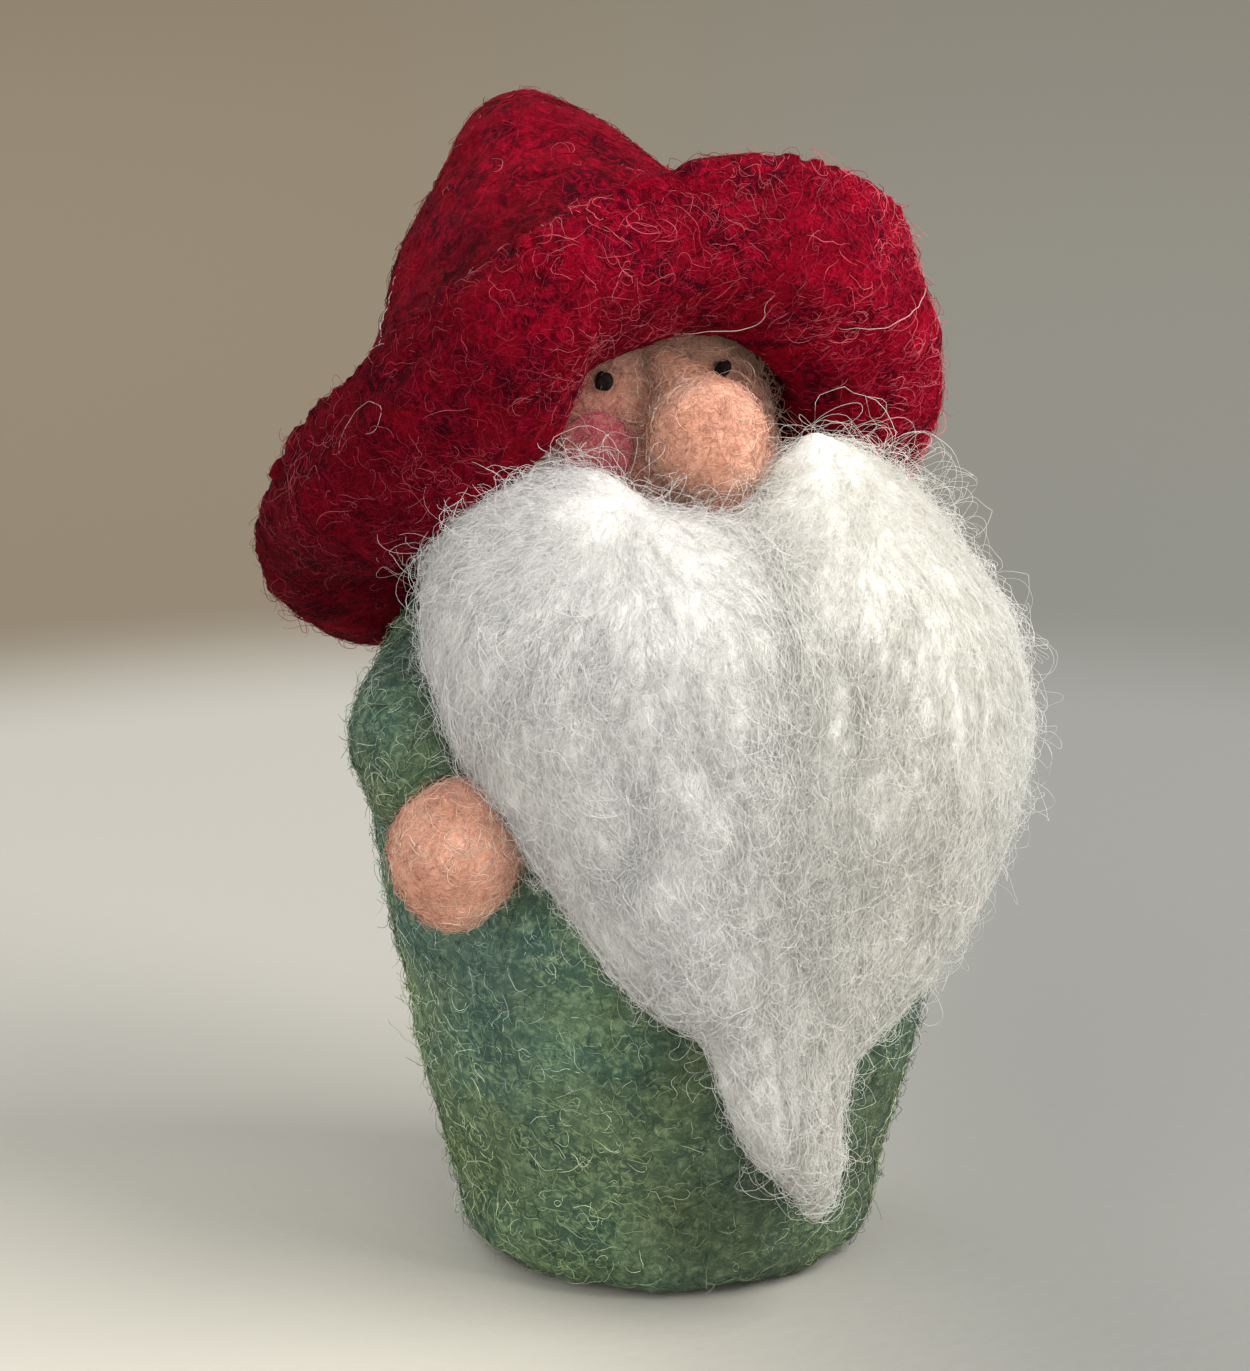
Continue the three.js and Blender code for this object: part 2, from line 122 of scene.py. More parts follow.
def ramp(value, low, high):
    """0 below low, 1 above high, and smooth in between."""
    share = np.clip((value - low) / (high - low), 0, 1)
    return share * share * (3 - 2 * share)


def unit(vectors):
    """The same directions, each with length 1."""
    return vectors / np.maximum(np.linalg.norm(vectors, axis=-1, keepdims=True), 1e-9)

# %% [markdown]
# ## From a solid to a lump of wool
# The pieces of the solid model have clean faces. Wool pressed together by a needle has none, so each
# one is copied, rebuilt from small cubes, smoothed until the cubes are gone, and then pushed in and
# out by the lumps. Rebuilding makes even little faces, which take the lumps well.

# %% Felt from a solid
def points_of(mesh):
    """A mesh's points in mm."""
    found = np.empty(len(mesh.vertices) * 3)
    mesh.vertices.foreach_get("co", found)
    return found.reshape(-1, 3) / MM


def facings_of(mesh):
    """The way a mesh faces at each of its points."""
    found = np.empty(len(mesh.vertices) * 3)
    mesh.vertices.foreach_get("normal", found)
    return found.reshape(-1, 3)


def joined(name, members):
    """One mesh with the faces of several solids."""
    meshes = [nodes[node].data for node in members]
    points, faces = [], []
    for mesh in meshes:
        faces += [[len(points) + corner for corner in face.vertices] for face in mesh.polygons]
        points += [tuple(point.co) for point in mesh.vertices]
    made = bpy.data.meshes.new(name)
    made.from_pydata(points, [], faces)
    return made


def felt_piece(name, members, cube, rounds, dents, shape=None, swell=0.0):
    """A felted copy of one or more solids.

    The cube is in mm, and dents holds pairs of height and size in mm. With swell the solids are
    swollen by so many mm, grow together, and are drawn in again. shape moves the points at the end.
    """
    piece = bpy.data.objects.new(name, joined(name, members))
    bpy.context.scene.collection.objects.link(piece)
    if swell:
        fuse = piece.modifiers.new("fuse", "REMESH")
        fuse.mode = "VOXEL"
        fuse.voxel_size = cube * MM
        grow = piece.modifiers.new("grow", "DISPLACE")
        grow.strength = swell * MM
        grow.mid_level = 0
    rebuild = piece.modifiers.new("rebuild", "REMESH")
    rebuild.mode = "VOXEL"
    rebuild.voxel_size = cube * MM
    rebuild.use_smooth_shade = True
    soften = piece.modifiers.new("soften", "SMOOTH")
    soften.factor = 0.5
    soften.iterations = rounds
    graph = bpy.context.evaluated_depsgraph_get()
    made = bpy.data.meshes.new_from_object(piece.evaluated_get(graph))
    piece.modifiers.clear()
    piece.data = made
    made.name = name
    made.materials.clear()
    places = points_of(made)
    facing = facings_of(made)
    places -= facing * swell
    if shape is not None:
        places = shape(places, facing)
    seed = sum(ord(letter) for letter in name)
    for height, size in dents:
        places += facing * (height * lumps(places, size, seed + int(size * 10)))[:, None]
    places[:, 2] = np.maximum(places[:, 2], 0)  # nothing sinks into the table
    made.vertices.foreach_set("co", (places * MM).astype(np.float32).ravel())
    made.update()
    body = nodes[members[0]]["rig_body"]
    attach(piece, body)
    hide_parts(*members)
    print(f"{name}: {len(made.polygons)} faces, rides on {body}")
    return piece


# %% [markdown]
# ## Shapes that the solids only hint at
# A few pieces need more than lumps. The hat's brim is plump on its underside, the nose has a narrow
# bridge, and the cheeks and eyes are wool pressed onto the face. Each shape is a function that moves
# the points of its piece. Most of them measure from the middle of the head.

# %% Shapes of brim, nose, cheeks and eyes
head_middle = np.array([-4.0, 7.0, 73.7])
hat_up = np.array([0.0, 0.559, 0.829])  # the way the hat lifts off
hat_back = np.array([0.0, 0.829, -0.559])
band_reach = 18.0  # from the hat's middle line out to where the brim begins
brim_width = 15.0
face_reach = 16.95  # from the middle of the head to the skin


def full_brim(places, facing):
    """The brim is thick, soft wool: its underside is rounded out in front, like a pillow."""
    off = places - head_middle
    back, up = off @ hat_back, off @ hat_up
    reach = np.hypot(off[:, 0], back)
    below = ramp(-(facing @ hat_up), -0.1, 0.6)
    front = ramp(-back / np.maximum(reach, 1), -0.5, 0.3)
    right = ramp(-off[:, 0], 9, 15)
    start = band_reach - 2.5 * right
    share = np.clip((reach - start) / (band_reach + brim_width - start), 0, 1)
    profile = np.sin(np.pi * share ** (1.6 - 0.7 * right)) ** 0.8
    plump = (2.8 + 2.0 * right) * profile * below * front
    edge = 0.9 * ramp(reach, 25, 29)
    places = places + facing * (plump + edge)[:, None]
    slim = 1 - 0.12 * ramp(up, 22, 34)
    lean = 1.6  # the crown leans this far to the gnome's left
    places[:, 0] = head_middle[0] + lean + (places[:, 0] - head_middle[0] - lean) * slim
    return places


nose_ball = np.array([-4.0, -15.3, 78.2])
nose_bridge = np.array([-4.0, -4.7, 84.9])


def slim_bridge(places, facing):
    """Above its ball the nose draws in to a narrow bridge."""
    line = nose_bridge - nose_ball
    along = (places - nose_ball) @ line / (line @ line)
    onto_line = nose_ball + np.clip(along, 0, 1)[:, None] * line
    draw = 1 - 0.42 * ramp(along, 0.1, 0.55)
    return onto_line + (places - onto_line) * draw[:, None]


def pressed(places, facing):
    """A cheek is a thin layer of wool pressed onto the face."""
    off = places - head_middle
    reach = np.linalg.norm(off, axis=1, keepdims=True)
    return head_middle + off / reach * (face_reach + 0.18 * (reach - face_reach))


def small_eye(width):
    """An eye is a little dark knot of wool, narrower than its place on the face."""
    def shape(places, facing):
        middle = places.mean(axis=0)
        out = unit((middle - head_middle)[None, :])
        off = places - middle
        deep = (off @ out[0])[:, None] * out
        return middle + deep + (off - deep) * width
    return shape


print("the brim is", brim_width, "mm wide, and the skin is", face_reach, "mm from the head's middle")

# %% [markdown]
# ## The way the beard is combed
# The beard is loose combed wool. Its fibres come out from under the cheeks, spread to the sides and
# run together again at the tip. Lines between a spring and a drain run the same way, so they are
# used here twice: as the direction in which fibres walk, and to press soft grooves into the wool.
# The beard is laid out flat for this: u goes round the belly and v is the height.

# %% Combing lines
belly = 26.0
beard_tip = (1.3, 5.0)
spring_right = (-15.5, 77.0)
spring_left = (8.0, 80.0)


def laid_flat(places):
    """The beard laid out flat: how far round the belly, and how high."""
    return belly * np.arctan2(places[:, 0], -places[:, 1]), places[:, 2]


def left_share(u, v):
    """0 on the gnome's right of the parting and 1 on its left."""
    parting = -3.2 + 4.0 * ramp(-v, -56, -11)
    return ramp(u - parting, -6.0, 6.0)


def combed(places):
    """The combing direction at each place."""
    u, v = laid_flat(places)
    to_u, to_v = beard_tip[0] - u, beard_tip[1] - v
    left = np.maximum(to_u ** 2 + to_v ** 2, 1)
    ways = []
    for spring in (spring_right, spring_left):
        off_u, off_v = u - spring[0], v - spring[1]
        off = np.maximum(off_u ** 2 + off_v ** 2, 1)
        ways.append(np.stack([off_u / off + to_u / left, off_v / off + to_v / left], 1))
    share = left_share(u, v)[:, None]
    way = unit(ways[0] * (1 - share) + ways[1] * share)
    turn = u / belly
    return np.stack([way[:, 0] * np.cos(turn), way[:, 0] * np.sin(turn), way[:, 1]], 1)


def line_number(places):
    """A number that stays the same along each combing line, and grows across them."""
    u, v = laid_flat(places)
    at_tip = np.arctan2(u - beard_tip[0], v - beard_tip[1])
    right = np.arctan2(u - spring_right[0], spring_right[1] - v) + at_tip
    left = np.arctan2(u - spring_left[0], spring_left[1] - v) + at_tip
    share = left_share(u, v)
    return right * (1 - share) + (left + 2.0) * share


def drawn_in(places):
    """The beard's top sinks a little into the cheeks, and low down its left half draws in early and
    leaves a slim tail."""
    u, v = laid_flat(places)
    to_left = ramp(u - beard_tip[0], -4, 4)
    left_squeeze = 0.09 + 0.50 * ramp(-v, -44, -23) - 0.12 * ramp(-v, -20, -11)
    right_squeeze = 0.045 * ramp(v, 18, 30) * (1 - ramp(v, 60, 70))
    tip_squeeze = (0.36 + 0.24 * (1 - to_left)) * ramp(-v, -16, -4)
    share = left_squeeze * to_left
    share += right_squeeze * (1 - to_left)
    share += tip_squeeze
    turn = (1.3 * ramp(-v, -20, -6) - share * (u - beard_tip[0])) / belly
    x, y = places[:, 0].copy(), places[:, 1].copy()
    places = places.copy()
    sunk = 2.6 - 1.6 * left_share(u, v) - 2.4 * ramp(-u, 13, 22)
    places[:, 2] -= sunk * ramp(v, 62, 76)
    places[:, 0] = x * np.cos(turn) - y * np.sin(turn)
    places[:, 1] = x * np.sin(turn) + y * np.cos(turn)
    return places


def combed_grooves(places, facing):
    """Soft grooves along the combing lines, and a hollow at the parting."""
    places = drawn_in(places)
    u, v = laid_flat(places)
    number = line_number(places) + 0.16 * lumps(places, 8.0, 63)
    along = v / 16.0
    wide = lumps(np.stack([number / 0.21, along, 0 * u], 1), 1.0, 61)
    narrow = lumps(np.stack([number / 0.085, 1.6 * along, 0 * u], 1), 1.0, 62)
    clear = ramp(spring_left[1] - v, 6, 34) * ramp(v, 8, 22)
    parting = np.exp(-((left_share(u, v) - 0.5) / 0.22) ** 2) * ramp(v, 48, 64)
    seam = np.exp(-((left_share(u, v) - 0.5) / 0.34) ** 2)
    rise = (0.50 * wide + 0.26 * narrow) * clear * (1 - 0.92 * seam) - 0.1 * parting
    return places + facing * rise[:, None]


print("combing lines run from", spring_right, "and", spring_left, "to", beard_tip)

# %% [markdown]
# ## All the felt pieces
# Each piece gets cubes that suit its size: fine ones for an eye, coarse ones for the coat. Big
# pieces are softened more, and their dents are deeper. The beard's three locks are loose wool that
# has no border between them, so they are swollen until they meet and then drawn in as one.

# %% Pieces of felt
soft_dents = [(0.35, 5.0), (0.18, 1.9), (0.07, 0.9)]
hand_dents = [(0.22, 3.4), (0.10, 1.4)]
coat = felt_piece("coat_felt", ["coat"], 0.7, 6, soft_dents)
sleeve_right = felt_piece("sleeve_right_felt", ["sleeve_right"], 0.45, 5, soft_dents)
sleeve_left = felt_piece("sleeve_left_felt", ["sleeve_left"], 0.45, 5, soft_dents)
hand_right = felt_piece("hand_right_felt", ["hand_right"], 0.4, 6, hand_dents)
hand_left = felt_piece("hand_left_felt", ["hand_left"], 0.4, 6, hand_dents)
face = felt_piece("face_felt", ["face_skin"], 0.5, 3, [(0.10, 2.2)])
nose = felt_piece("nose_felt", ["nose"], 0.3, 4, [(0.16, 2.6), (0.09, 1.1)], slim_bridge)
eye_right = felt_piece("eye_right_felt", ["eye_right"], 0.12, 3, [(0.12, 0.7)], small_eye(0.82))
eye_left = felt_piece("eye_left_felt", ["eye_left"], 0.12, 3, [(0.12, 0.7)], small_eye(0.66))
cheek_right = felt_piece("cheek_right_felt", ["cheek_right"], 0.16, 3, [(0.05, 0.8)], pressed)
cheek_left = felt_piece("cheek_left_felt", ["cheek_left"], 0.16, 3, [(0.05, 0.8)], pressed)
hat = felt_piece("hat_felt", ["hat"], 0.58, 12, [(0.5, 6.0), (0.22, 2.4), (0.08, 1.0)], full_brim)
beard = felt_piece(
    "beard_wool", ["beard_lock_right", "beard_lock_left", "beard_tail"],
    0.7, 22, [(0.6, 8.0), (0.15, 1.6)], combed_grooves, swell=3.0)

# %% [markdown]
# ## Real fibres
# What makes wool look like wool is its fibres. Hair curves would be quick, but they don't leave this
# program as a shape, so each fibre is a thin three-sided tube with closed ends. A fibre starts
# somewhere on the felt and walks over it in small steps. Its steps either wander, which makes the
# curly web of a felted surface, or follow a flow, which makes combed wool. Then it is lifted a little
# off the felt and gets the crimp that wool has by nature.

# %% Where fibres start
def felt_tree(piece):
    """A search tree that finds the nearest place on the felt."""
    made = piece.data
    made.calc_loop_triangles()
    corners = np.empty(len(made.loop_triangles) * 3, int)
    made.loop_triangles.foreach_get("vertices", corners)
    corners = corners.reshape(-1, 3)
    places = points_of(made)
    return BVHTree.FromPolygons(places.tolist(), corners.tolist()), places, corners


def onto(tree, points):
    """The nearest places on the felt and the way it faces there."""
    found = [tree.find_nearest(point) for point in points]
    places = np.array([tuple(row[0]) for row in found])
    facing = np.array([tuple(row[1]) for row in found])
    return places, facing


def scatter(places, corners, count, rng, keep=None):
    """Random places spread evenly over the felt's area, where keep allows them."""
    a, b, c = (places[corners[:, i]] for i in range(3))
    across = np.cross(b - a, c - a)
    area = np.linalg.norm(across, axis=1)
    facing = across / np.maximum(area, 1e-12)[:, None]
    if keep is not None:
        area = area * keep((a + b + c) / 3, facing)
    chosen = rng.choice(len(area), count, p=area / area.sum())
    u, v = rng.random((2, count))
    flip = u + v > 1
    u, v = np.where(flip, 1 - u, u), np.where(flip, 1 - v, v)
    start = a[chosen] + u[:, None] * (b - a)[chosen] + v[:, None] * (c - a)[chosen]
    return start, facing[chosen]


print("fibres start on an even spread over the felt's area")

# %% [markdown]
# ## A fibre's walk
# A fibre takes one small step at a time. After each step it is put back onto the felt, so it follows
# every lump. Its bend changes only a little from one step to the next, which gives smooth curls
# instead of a zigzag.

# %% How a fibre walks
def walk(tree, start, facing, heading, steps, stride, curl, rng, flow=None, follow=0.0):
    """Fibres that walk over the felt. Gives their places and the way the felt faces, step by step."""
    here, up, going = start, facing, heading
    bend = rng.normal(0, curl, len(start))
    places, facings = [here], [up]
    for _ in range(steps - 1):
        bend = 0.8 * bend + 0.6 * rng.normal(0, curl, len(start))
        if flow is not None:
            going = unit((1 - follow) * going + follow * flow(here))
        going = unit(going - (going * up).sum(1)[:, None] * up)
        side = np.cross(up, going)
        going = going * np.cos(bend)[:, None] + side * np.sin(bend)[:, None]
        here, up = onto(tree, here + going * np.reshape(stride, (-1, 1)))
        places.append(here)
        facings.append(up)
    return np.stack(places, 1), np.stack(facings, 1)


def smoothed(rows, rounds=2):
    """Evens out each fibre's path, and keeps its two ends."""
    for _ in range(rounds):
        middle = (rows[:, :-2] + 2 * rows[:, 1:-1] + rows[:, 2:]) / 4
        rows = np.concatenate([rows[:, :1], middle, rows[:, -1:]], axis=1)
    return rows


def lifted(places, facings, lift, crimp, wave, rng):
    """Fibres raised off the felt by lift and given their crimp, both in mm."""
    facings = unit(smoothed(facings, 3))
    along = unit(np.gradient(smoothed(places), axis=1))
    side = np.cross(facings, along)
    gone = np.cumsum(np.linalg.norm(np.diff(places, axis=1, prepend=places[:, :1]), axis=2), axis=1)
    count = len(places)
    length = wave * rng.uniform(0.75, 1.35, (count, 1))
    turn = 2 * math.pi * (gone / length + rng.random((count, 1)))
    size = crimp * rng.uniform(0.4, 1.5, (count, 1))
    sway = size * np.sin(turn)
    rise = 0.6 * size * np.cos(turn * 1.13)
    return smoothed(places) + facings * (lift + rise)[:, :, None] + side * sway[:, :, None]

# %% [markdown]
# ## Tubes for the fibres
# Each fibre carries its own shade as a colour that is stored on its points. Its faces also get a
# little cell of their own on a flat map, so that the shades survive when the model is painted for
# use elsewhere.

# %% Fibres into a mesh
MOST_FACES = 95000  # in one bundle, so that no bundle is thinned out later
LOWEST = 0.06  # mm above the table, so that no fibre goes into it


def tube_corners(paths, thick):
    """Three corners round each place on each fibre. thick is the radius in mm at each step."""
    along = unit(np.gradient(paths, axis=1))
    any_way = np.where(np.abs(along[..., 2:]) < 0.9, [[[0, 0, 1.0]]], [[[1.0, 0, 0]]])
    side = unit(np.cross(along, any_way))
    other = np.cross(along, side)
    turns = np.arange(3) * 2 * math.pi / 3
    ring = (
        np.cos(turns)[None, None, :, None] * side[:, :, None, :]
        + np.sin(turns)[None, None, :, None] * other[:, :, None, :]
    )
    return (paths[:, :, None, :] + ring * thick[:, :, None, None]).reshape(-1, 3)


def tube_faces(count, steps):
    """Which corners make each face: three walls for every step, and a cap on each end."""
    first = (np.arange(count) * steps * 3)[:, None, None]
    low = first + np.arange(steps - 1)[None, :, None] * 3
    here, after = np.arange(3)[None, None, :], (np.arange(3) + 1)[None, None, :] % 3
    walls = np.stack([low + here, low + after, low + 3 + after, low + 3 + here], -1).reshape(-1, 4)
    start_caps = first[:, 0] + [[2, 1, 0]]
    end_caps = first[:, 0] + (steps - 1) * 3 + [[0, 1, 2]]
    loops = np.concatenate([walls.ravel(), start_caps.ravel(), end_caps.ravel()])
    sizes = np.concatenate([np.full(len(walls), 4), np.full(2 * count, 3)])
    return loops.astype(np.int32), sizes


def flat_cells(count, steps):
    """Each fibre's own cell on the flat map: its walls in the middle, and its caps above and below."""
    cells = math.ceil(math.sqrt(count))  # along each side of the map
    fibre = np.arange(count)
    cell = np.stack([fibre % cells, fibre // cells], -1)
    step = np.arange(steps - 1) / (steps - 1)
    u = np.stack([np.arange(3), np.arange(3) + 1, np.arange(3) + 1, np.arange(3)], -1) / 3
    v = np.stack([step, step, step + 1 / (steps - 1), step + 1 / (steps - 1)], -1)
    inside = np.zeros((count, steps - 1, 3, 4, 2))
    inside[..., 0] = u[None, None]
    inside[..., 1] = v[None, :, None, :]
    margin = 0.1  # empty space round the walls in each cell
    wall_map = (cell[:, None, None, None, :] + margin + (1 - 2 * margin) * inside) / cells
    cap = np.array([[0.1, 0.02], [0.5, 0.08], [0.9, 0.02]])
    start_map = (cell[:, None, :] + cap) / cells
    end_map = (cell[:, None, :] + [[0, 1]] + cap * [[1, -1]]) / cells
    maps = [part.reshape(-1, 2) for part in (wall_map, start_map, end_map)]
    return np.concatenate(maps).astype(np.float32)


def bundle(name, paths, thick, shades, body, material):
    """One mesh of three-sided fibres, which rides on a body."""
    count, steps = paths.shape[:2]
    corners = tube_corners(paths, thick)
    loops, sizes = tube_faces(count, steps)
    made = bpy.data.meshes.new(name)
    made.vertices.add(len(corners))
    made.vertices.foreach_set("co", (corners * MM).astype(np.float32).ravel())
    made.loops.add(len(loops))
    made.loops.foreach_set("vertex_index", loops)
    made.polygons.add(len(sizes))
    loop_starts = np.concatenate([[0], np.cumsum(sizes)[:-1]])
    made.polygons.foreach_set("loop_start", loop_starts.astype(np.int32))
    made.update(calc_edges=True)
    made.uv_layers.new(name="OFBake").data.foreach_set("uv", flat_cells(count, steps).ravel())
    shade = made.color_attributes.new("fibre_shade", "FLOAT_COLOR", "POINT")
    colours = np.ones((count, steps * 3, 4), np.float32)
    colours[..., :3] = shades[:, None, :]
    shade.data.foreach_set("color", colours.ravel())
    made.polygons.foreach_set("use_smooth", np.ones(len(sizes), bool))
    made.materials.append(material)
    piece = bpy.data.objects.new(name, made)
    bpy.context.scene.collection.objects.link(piece)
    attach(piece, body)


def bundles(name, paths, thick, shades, body, material):
    """As many bundles as it takes to keep each under MOST_FACES."""
    paths[..., 2] = np.maximum(paths[..., 2], LOWEST)
    each = MOST_FACES // (3 * paths.shape[1])
    parts = math.ceil(len(paths) / each)
    for part in range(parts):
        own = slice(part, None, parts)
        label = name if parts == 1 else f"{name}_{part + 1}"
        bundle(label, paths[own], thick[own], shades[own], body, material)
    print(f"{name}: {len(paths)} fibres in {parts} bundles")


def taper(count, steps, radius, rng):
    """Fibre radii that are thinner towards both ends."""
    along = np.linspace(0, 1, steps)
    shape = 0.35 + 0.65 * np.sin(np.pi * np.clip(along * 0.9 + 0.05, 0, 1)) ** 0.6
    return radius * rng.uniform(0.7, 1.3, (count, 1)) * shape[None, :]

# %% [markdown]
# ## Wool as a material
# Two effects come back in every wool here, so each is a node group. The first mixes dyed wools: felt
# is made of several colours that never blend all the way. The second is the grain of matted fibres,
# as a height for a bump. The shader itself stays in each material, where its sheen can be set.

# %% Node groups
def new_group(name, inputs, outputs):
    """An empty node group with these sockets. Gives the group, its input node and its output node."""
    group = bpy.data.node_groups.new(name, "ShaderNodeTree")
    for label, kind, value in inputs:
        socket = group.interface.new_socket(label, in_out="INPUT", socket_type=kind)
        socket.default_value = value
    for label, kind in outputs:
        group.interface.new_socket(label, in_out="OUTPUT", socket_type=kind)
    return group, group.nodes.new("NodeGroupInput"), group.nodes.new("NodeGroupOutput")


def add_node(tree, kind, inputs=(), **settings):
    """A node with its settings, and with each input set to a value or linked to a socket."""
    node = tree.nodes.new(kind)
    for key, value in settings.items():
        setattr(node, key, value)
    for key, value in dict(inputs).items():
        if isinstance(value, bpy.types.NodeSocket):
            tree.links.new(value, node.inputs[key])
        else:
            node.inputs[key].default_value = value
    return node


def mix_colours(tree, factor, first, second, blend="MIX"):
    """The colour between two, for a factor that is a number or a socket."""
    node = add_node(tree, "ShaderNodeMix", data_type="RGBA", blend_type=blend)
    sockets = (node.inputs[0], node.inputs[6], node.inputs[7])
    for socket, value in zip(sockets, (factor, first, second)):
        if isinstance(value, bpy.types.NodeSocket):
            tree.links.new(value, socket)
        else:
            socket.default_value = value
    return node.outputs[2]


def build_mixed_wool():
    """Dyed wools carded together: patches of a second and a third colour, and fine streaks."""
    group, given, result = new_group(
        "mixed_wool",
        [
            ("Main wool", "NodeSocketColor", (0.5, 0.5, 0.5, 1)),
            ("Second wool", "NodeSocketColor", (0.3, 0.3, 0.3, 1)),
            ("Third wool", "NodeSocketColor", (0.7, 0.7, 0.7, 1)),
            ("Patches per m", "NodeSocketFloat", 150.0),
            ("Streaks per m", "NodeSocketFloat", 900.0),
            ("Swirl", "NodeSocketFloat", 2.4),
        ],
        [("Color", "NodeSocketColor"), ("Roughness", "NodeSocketFloat")],
    )
    where = add_node(group, "ShaderNodeTexCoord").outputs["Object"]
    patch = add_node(group, "ShaderNodeTexNoise", {
        "Vector": where, "Scale": given.outputs["Patches per m"], "Detail": 3.0, "Distortion": 1.2,
    })
    spot = add_node(group, "ShaderNodeTexNoise", {
        "Vector": where, "Scale": given.outputs["Streaks per m"], "Detail": 4.0,
        "Distortion": given.outputs["Swirl"],
    })
    patchy = add_node(group, "ShaderNodeMapRange", {
        "Value": patch.outputs[0], "From Min": 0.42, "From Max": 0.62,
    })
    spotty = add_node(group, "ShaderNodeMapRange", {
        "Value": spot.outputs[0], "From Min": 0.46, "From Max": 0.68,
    })
    ground = mix_colours(
        group, patchy.outputs[0], given.outputs["Main wool"], given.outputs["Second wool"])
    mixed = mix_colours(group, spotty.outputs[0], ground, given.outputs["Third wool"])
    rough = add_node(group, "ShaderNodeMapRange", {
        "Value": spot.outputs[0], "To Min": 0.75, "To Max": 1.0,
    })
    group.links.new(mixed, result.inputs["Color"])
    group.links.new(rough.outputs[0], result.inputs["Roughness"])
    return group


def build_matted_grain():
    """The height of matted fibres: swirling strands with needle pricks between them."""
    group, given, result = new_group(
        "matted_grain",
        [("Strands per m", "NodeSocketFloat", 1400.0), ("Pricks per m", "NodeSocketFloat", 700.0)],
        [("Height", "NodeSocketFloat")],
    )
    where = add_node(group, "ShaderNodeTexCoord").outputs["Object"]
    strands = add_node(group, "ShaderNodeTexNoise", {
        "Vector": where, "Scale": given.outputs["Strands per m"], "Detail": 5.0, "Distortion": 3.0,
    })
    pricks = add_node(group, "ShaderNodeTexVoronoi", {
        "Vector": where, "Scale": given.outputs["Pricks per m"],
    })
    deep = add_node(group, "ShaderNodeMapRange", {
        "Value": pricks.outputs["Distance"], "From Max": 0.5, "To Max": 0.5,
    })
    height = add_node(
        group, "ShaderNodeMath", {0: strands.outputs[0], 1: deep.outputs[0]}, operation="ADD")
    group.links.new(height.outputs[0], result.inputs["Height"])
    return group


mixed_wool = build_mixed_wool()
matted_grain = build_matted_grain()
print("node groups:", mixed_wool.name, "and", matted_grain.name)

# %% [markdown]
# ## Tints over a whole piece
# Dyed wool is never one colour from end to end. A tint is stored on the points of each felt piece,
# and both the felt and its fibres are multiplied by it, so the two always agree. Besides the wool's
# own patches, the tints of the hat, the coat, the face and the nose hold painted shade and light.

# %% Tints
def hat_shade_and_mottle(places):
    """Painted shade on the gnome's right and in the valley between crown and brim, painted light on its
    left, and the wool's own mottle.
    """
    off = places - head_middle
    back, up = off @ hat_back, off @ hat_up
    reach = np.hypot(off[:, 0], back)
    # Painted light and shade: darker on the gnome's right, where the brim hangs in shade, and lighter
    # on its left, towards the window.
    tone = 0.56 + 0.38 * ramp(off[:, 0], -26, -12) + 0.40 * ramp(off[:, 0], 2, 22)
    # Painted shade in the valley between crown and brim.
    fold_shade = (1 - ramp(up, 11, 21)) * ramp(up, 3, 5) * (1 - ramp(reach, 24, 27)) * ramp(-back, 2, 10)
    mottle = 1 + 0.20 * lumps(places, 7.0, 81) + 0.14 * lumps(places, 2.5, 86)
    tone = tone * (1 - 0.5 * fold_shade) * mottle
    return np.repeat(tone[:, None], 3, axis=1)


def coat_patches_and_light(places):
    """Large soft patches: yellow-green wool low down, blue-green wool higher up and in between. Painted
    light brightens the gnome's right side, and the coat is darker at its foot and towards its top.
    """
    warm = lumps(places, 11.0, 82) + 0.3 * (1 - ramp(places[:, 2], 4, 30)) - 0.1
    cool = lumps(places, 8.0, 83) + 0.5 * lumps(places, 3.5, 84)
    warm, cool = np.clip(warm, -1, 1), np.clip(cool, -1, 1)
    # The lumps are the wool's own lighter and darker patches. The ramp on the gnome's right side is
    # painted light.
    light = 0.90 + 0.34 * lumps(places, 5.0, 85) + 0.62 * ramp(-places[:, 0], 8, 20)
    at_foot = 0.86 + 0.14 * ramp(places[:, 2], 12, 26)
    at_shoulder = 1 - 0.2 * ramp(places[:, 2], 36, 44)
    light = light * at_foot * at_shoulder
    red = light * (1.02 + 0.13 * warm - 0.15 * cool)
    green = light * (1.02 + 0.11 * warm - 0.08 * cool)
    blue = light * (0.94 - 0.10 * warm + 0.02 * cool)
    return np.stack([red, green, blue], 1)


def face_painted_shade(places):
    """Painted shade: redder and darker under the hat's edge and on the gnome's right side."""
    off = places - head_middle
    # Painted shade under the hat's edge.
    shade = ramp(off @ hat_up, 2, 10)[:, None]
    # Painted shade on the gnome's right side.
    beside = ramp(-off[:, 0], 2, 9)[:, None]
    return (1 - shade * [[0.14, 0.28, 0.28]]) * (1 - beside * [[0.22, 0.42, 0.36]])


def nose_painted_shade(places):
    """Painted shade: a little darker up on the bridge, under the hat's edge."""
    shade = ramp(places[:, 2], 82.0, 87.0)[:, None]
    return 1 - shade * [[0.08, 0.20, 0.20]]


def plain_tint(places):
    """No tint: white everywhere."""
    return np.ones((len(places), 3))


def paint_tint(piece, tint):
    """Stores a tint on every point of a felt piece."""
    made = piece.data
    colours = np.ones((len(made.vertices), 4), np.float32)
    colours[:, :3] = tint(points_of(made))
    layer = made.color_attributes.new("felt_tint_and_shade", "FLOAT_COLOR", "POINT")
    layer.data.foreach_set("color", colours.ravel())


print("tints are ready for the hat, the coat, the face and the nose")

# %% [markdown]
# ## Two kinds of material
# Felt takes the mixed wools, the tint and the matted grain. A fibre is too thin for patches: it takes
# the one shade stored on its points. White wool also lets a little light in, which keeps the beard
# from looking like plaster.

